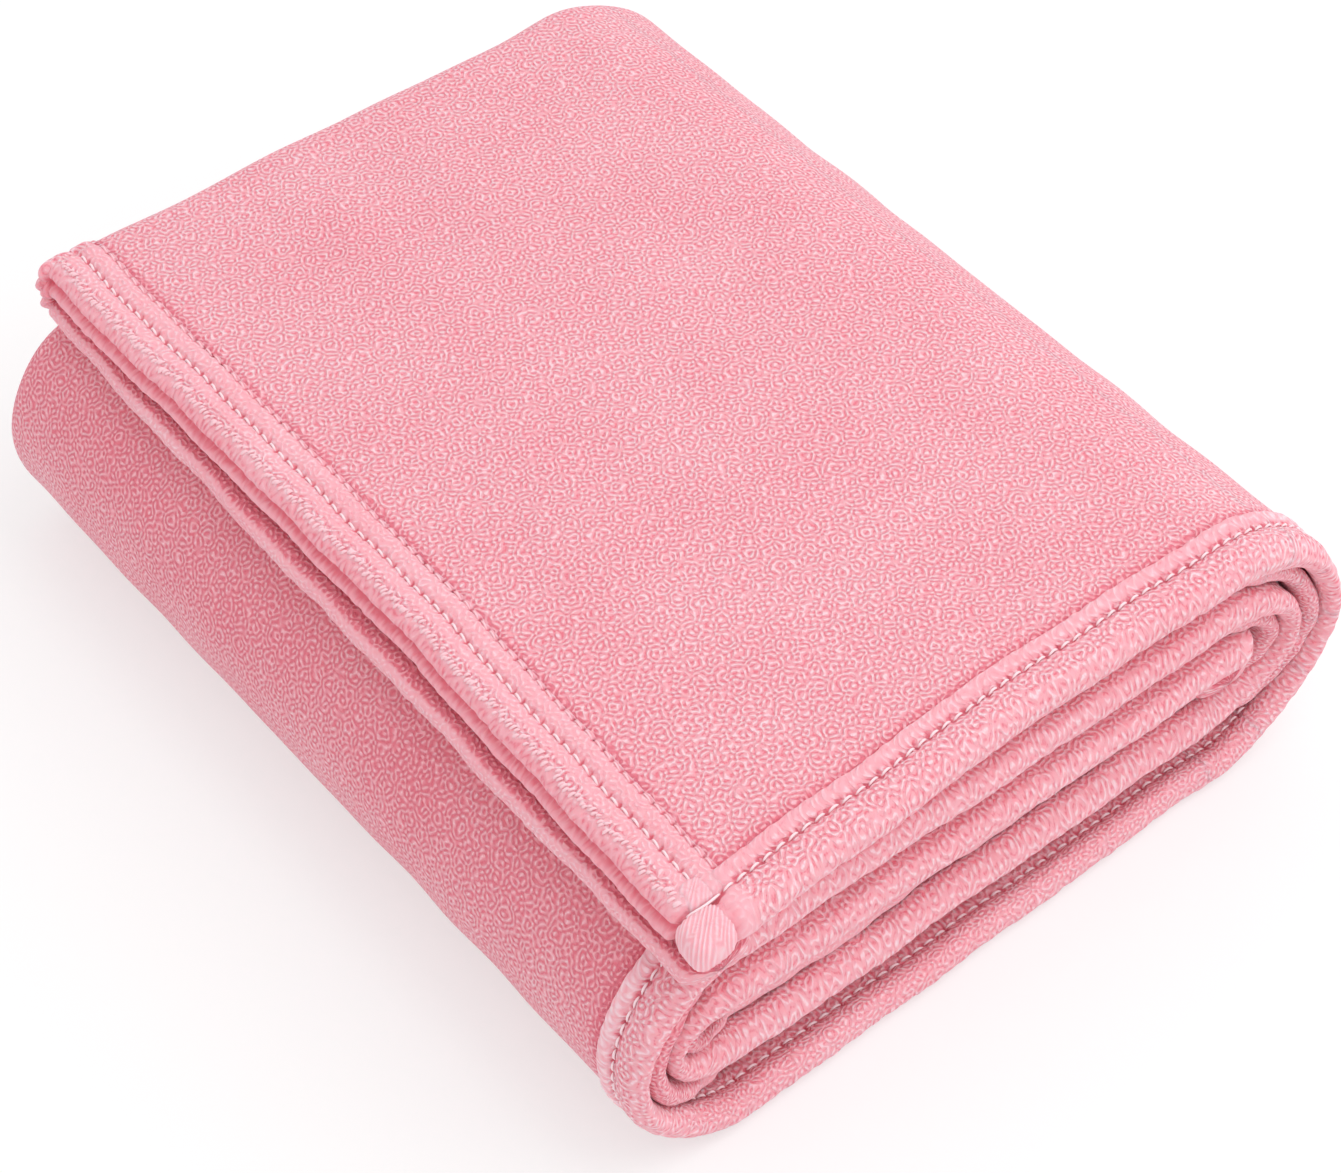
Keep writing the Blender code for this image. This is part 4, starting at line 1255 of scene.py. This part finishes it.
ROLL_STRETCHES = ("bottom", "left_fold", "second", "inner_right_fold", "fourth", "inner_left_fold", "third")
KINDS = ((CLOTH, "fleece"), (HEMS, "hem"), (STITCHES, "thread"))
for made, kind in KINDS:
    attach(made["roll"], "roll")
    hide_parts(*[f"{name}_{kind}" for name in ROLL_STRETCHES])
    for n in range(1, SLICES + 2):
        key = "flap" if n > SLICES else f"fold_{n}"
        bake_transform(made[key])
        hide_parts(f"flap_{kind}" if n > SLICES else f"right_fold_{n}_{kind}")
for made, body, nodes in (
    (FLAP_END, "flap", ["flap_end_hem"]), (FLAP_KNOB, "flap", ["flap_corner"]),
    (FLAP_CROSSING, "flap", []), (FLAP_LOOPS, "flap", []), (FLAP_LOOP, "flap", []),
    (END_STITCHES[0], "flap", ["flap_end_thread_1"]), (END_STITCHES[1], "flap", ["flap_end_thread_2"]),
    (CORE_END, "roll", ["third_end_hem"]), (CORE_KNOB, "roll", ["third_corner"]),
    (CORE_STITCHES, "roll", ["third_end_thread_1"]),
):
    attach(made, body)
    if nodes:
        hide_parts(*nodes)

FLAP_TRIMS = [FLAP_END, FLAP_KNOB, FLAP_CROSSING, FLAP_LOOPS, FLAP_LOOP, *END_STITCHES]
for key, cloth in CLOTH.items():
    trims = [HEMS[key], STITCHES[key]]
    trims += {"flap": FLAP_TRIMS, "roll": [CORE_END, CORE_KNOB, CORE_STITCHES]}.get(key, [])
print("sheets", ", ".join(cloth.name for cloth in CLOTH.values()))

# %% [markdown]
# ## Floor, light and camera
# A white floor catches a soft shadow. Most of the light comes from all round, as in a white studio, and one
# large lamp above and to the right gives the shading its direction. The camera stands where the photographer
# stood, to the front left and well above.

# %% Floor
FLOOR_SIZE = 3.0
FLOOR_DROP = 0.2 * MM  # keeps the floor clear of the cloth on it
FLOOR_GLOW = 0.52  # share of the floor's white that no shadow reaches


def floor_finish():
    """Matt white. To the camera it glows a little, so that the lit floor is white and its shadow soft."""
    white = (1.0, 1.0, 1.0, 1.0)
    made, tree, shader = new_finish("floor", Roughness=1.0, Specular_IOR_Level=0.0, Emission_Color=white)
    seen = node(tree, "LightPath").outputs["Is Camera Ray"]
    glow = node(tree, "Math", seen, FLOOR_GLOW, operation="MULTIPLY").outputs[0]
    tree.links.new(glow, shader.inputs["Emission Strength"])
    grey = node(tree, "MapRange", seen, 0.0, 1.0, 0.92, 1.0 - FLOOR_GLOW).outputs["Result"]
    tree.links.new(grey, shader.inputs["Base Color"])
    return made


half = FLOOR_SIZE / 2
floor_mesh = bpy.data.meshes.new("floor")
corners = [(-half, -half, 0), (half, -half, 0), (half, half, 0), (-half, half, 0)]
floor_mesh.from_pydata(corners, [], [(0, 1, 2, 3)])
floor = bpy.data.objects.new("floor", floor_mesh)
floor.location.z = -FLOOR_DROP
floor_mesh.materials.append(floor_finish())
bpy.context.scene.collection.objects.link(floor)
print(f"floor {FLOOR_SIZE:.1f} m wide")

# %% Light
ROOM_LIGHT = 0.86
LAMP_SIZE = 1.3
LAMP_POWER = 6.3
LAMP_PLACE = (0.55, -0.42, 1.2)
LAMP_AIM = (0.0, 0.0, 0.03)
world = bpy.data.worlds.new("studio")
bpy.context.scene.world = world
world.use_nodes = True
sky = world.node_tree.nodes["Background"]
sky.inputs["Color"].default_value = (1.0, 1.0, 1.0, 1.0)
seen = node(world.node_tree, "LightPath").outputs["Is Camera Ray"]
level = node(world.node_tree, "MapRange", seen, 0.0, 1.0, ROOM_LIGHT, 1.0)
world.node_tree.links.new(level.outputs["Result"], sky.inputs["Strength"])

lamp = bpy.data.lights.new("softbox", "AREA")
lamp.shape = "DISK"
lamp.size = LAMP_SIZE
lamp.energy = LAMP_POWER
softbox = bpy.data.objects.new("softbox", lamp)
softbox.location = LAMP_PLACE
bpy.context.scene.collection.objects.link(softbox)
bpy.context.view_layer.update()
softbox.rotation_euler = (Vector(LAMP_AIM) - softbox.location).to_track_quat("-Z", "Y").to_euler()
print(f"room light {ROOM_LIGHT}, lamp {LAMP_POWER} W")

# %% Camera
CAMERA_PLACE = (-0.347, -0.438, 0.627)
CAMERA_WAY = (0.421, 0.523, -0.741)
lens = bpy.data.cameras.new("camera")
lens.sensor_width = 36.0
lens.lens = 91.15
lens.clip_start = 0.05
lens.clip_end = 20.0
camera = bpy.data.objects.new("camera", lens)
camera.location = CAMERA_PLACE
camera.rotation_euler = Vector(CAMERA_WAY).to_track_quat("-Z", "Y").to_euler()
bpy.context.scene.collection.objects.link(camera)
bpy.context.scene.camera = camera
bpy.context.scene.view_settings.view_transform = "Standard"
print(f"camera with a {lens.lens:.0f} mm lens")
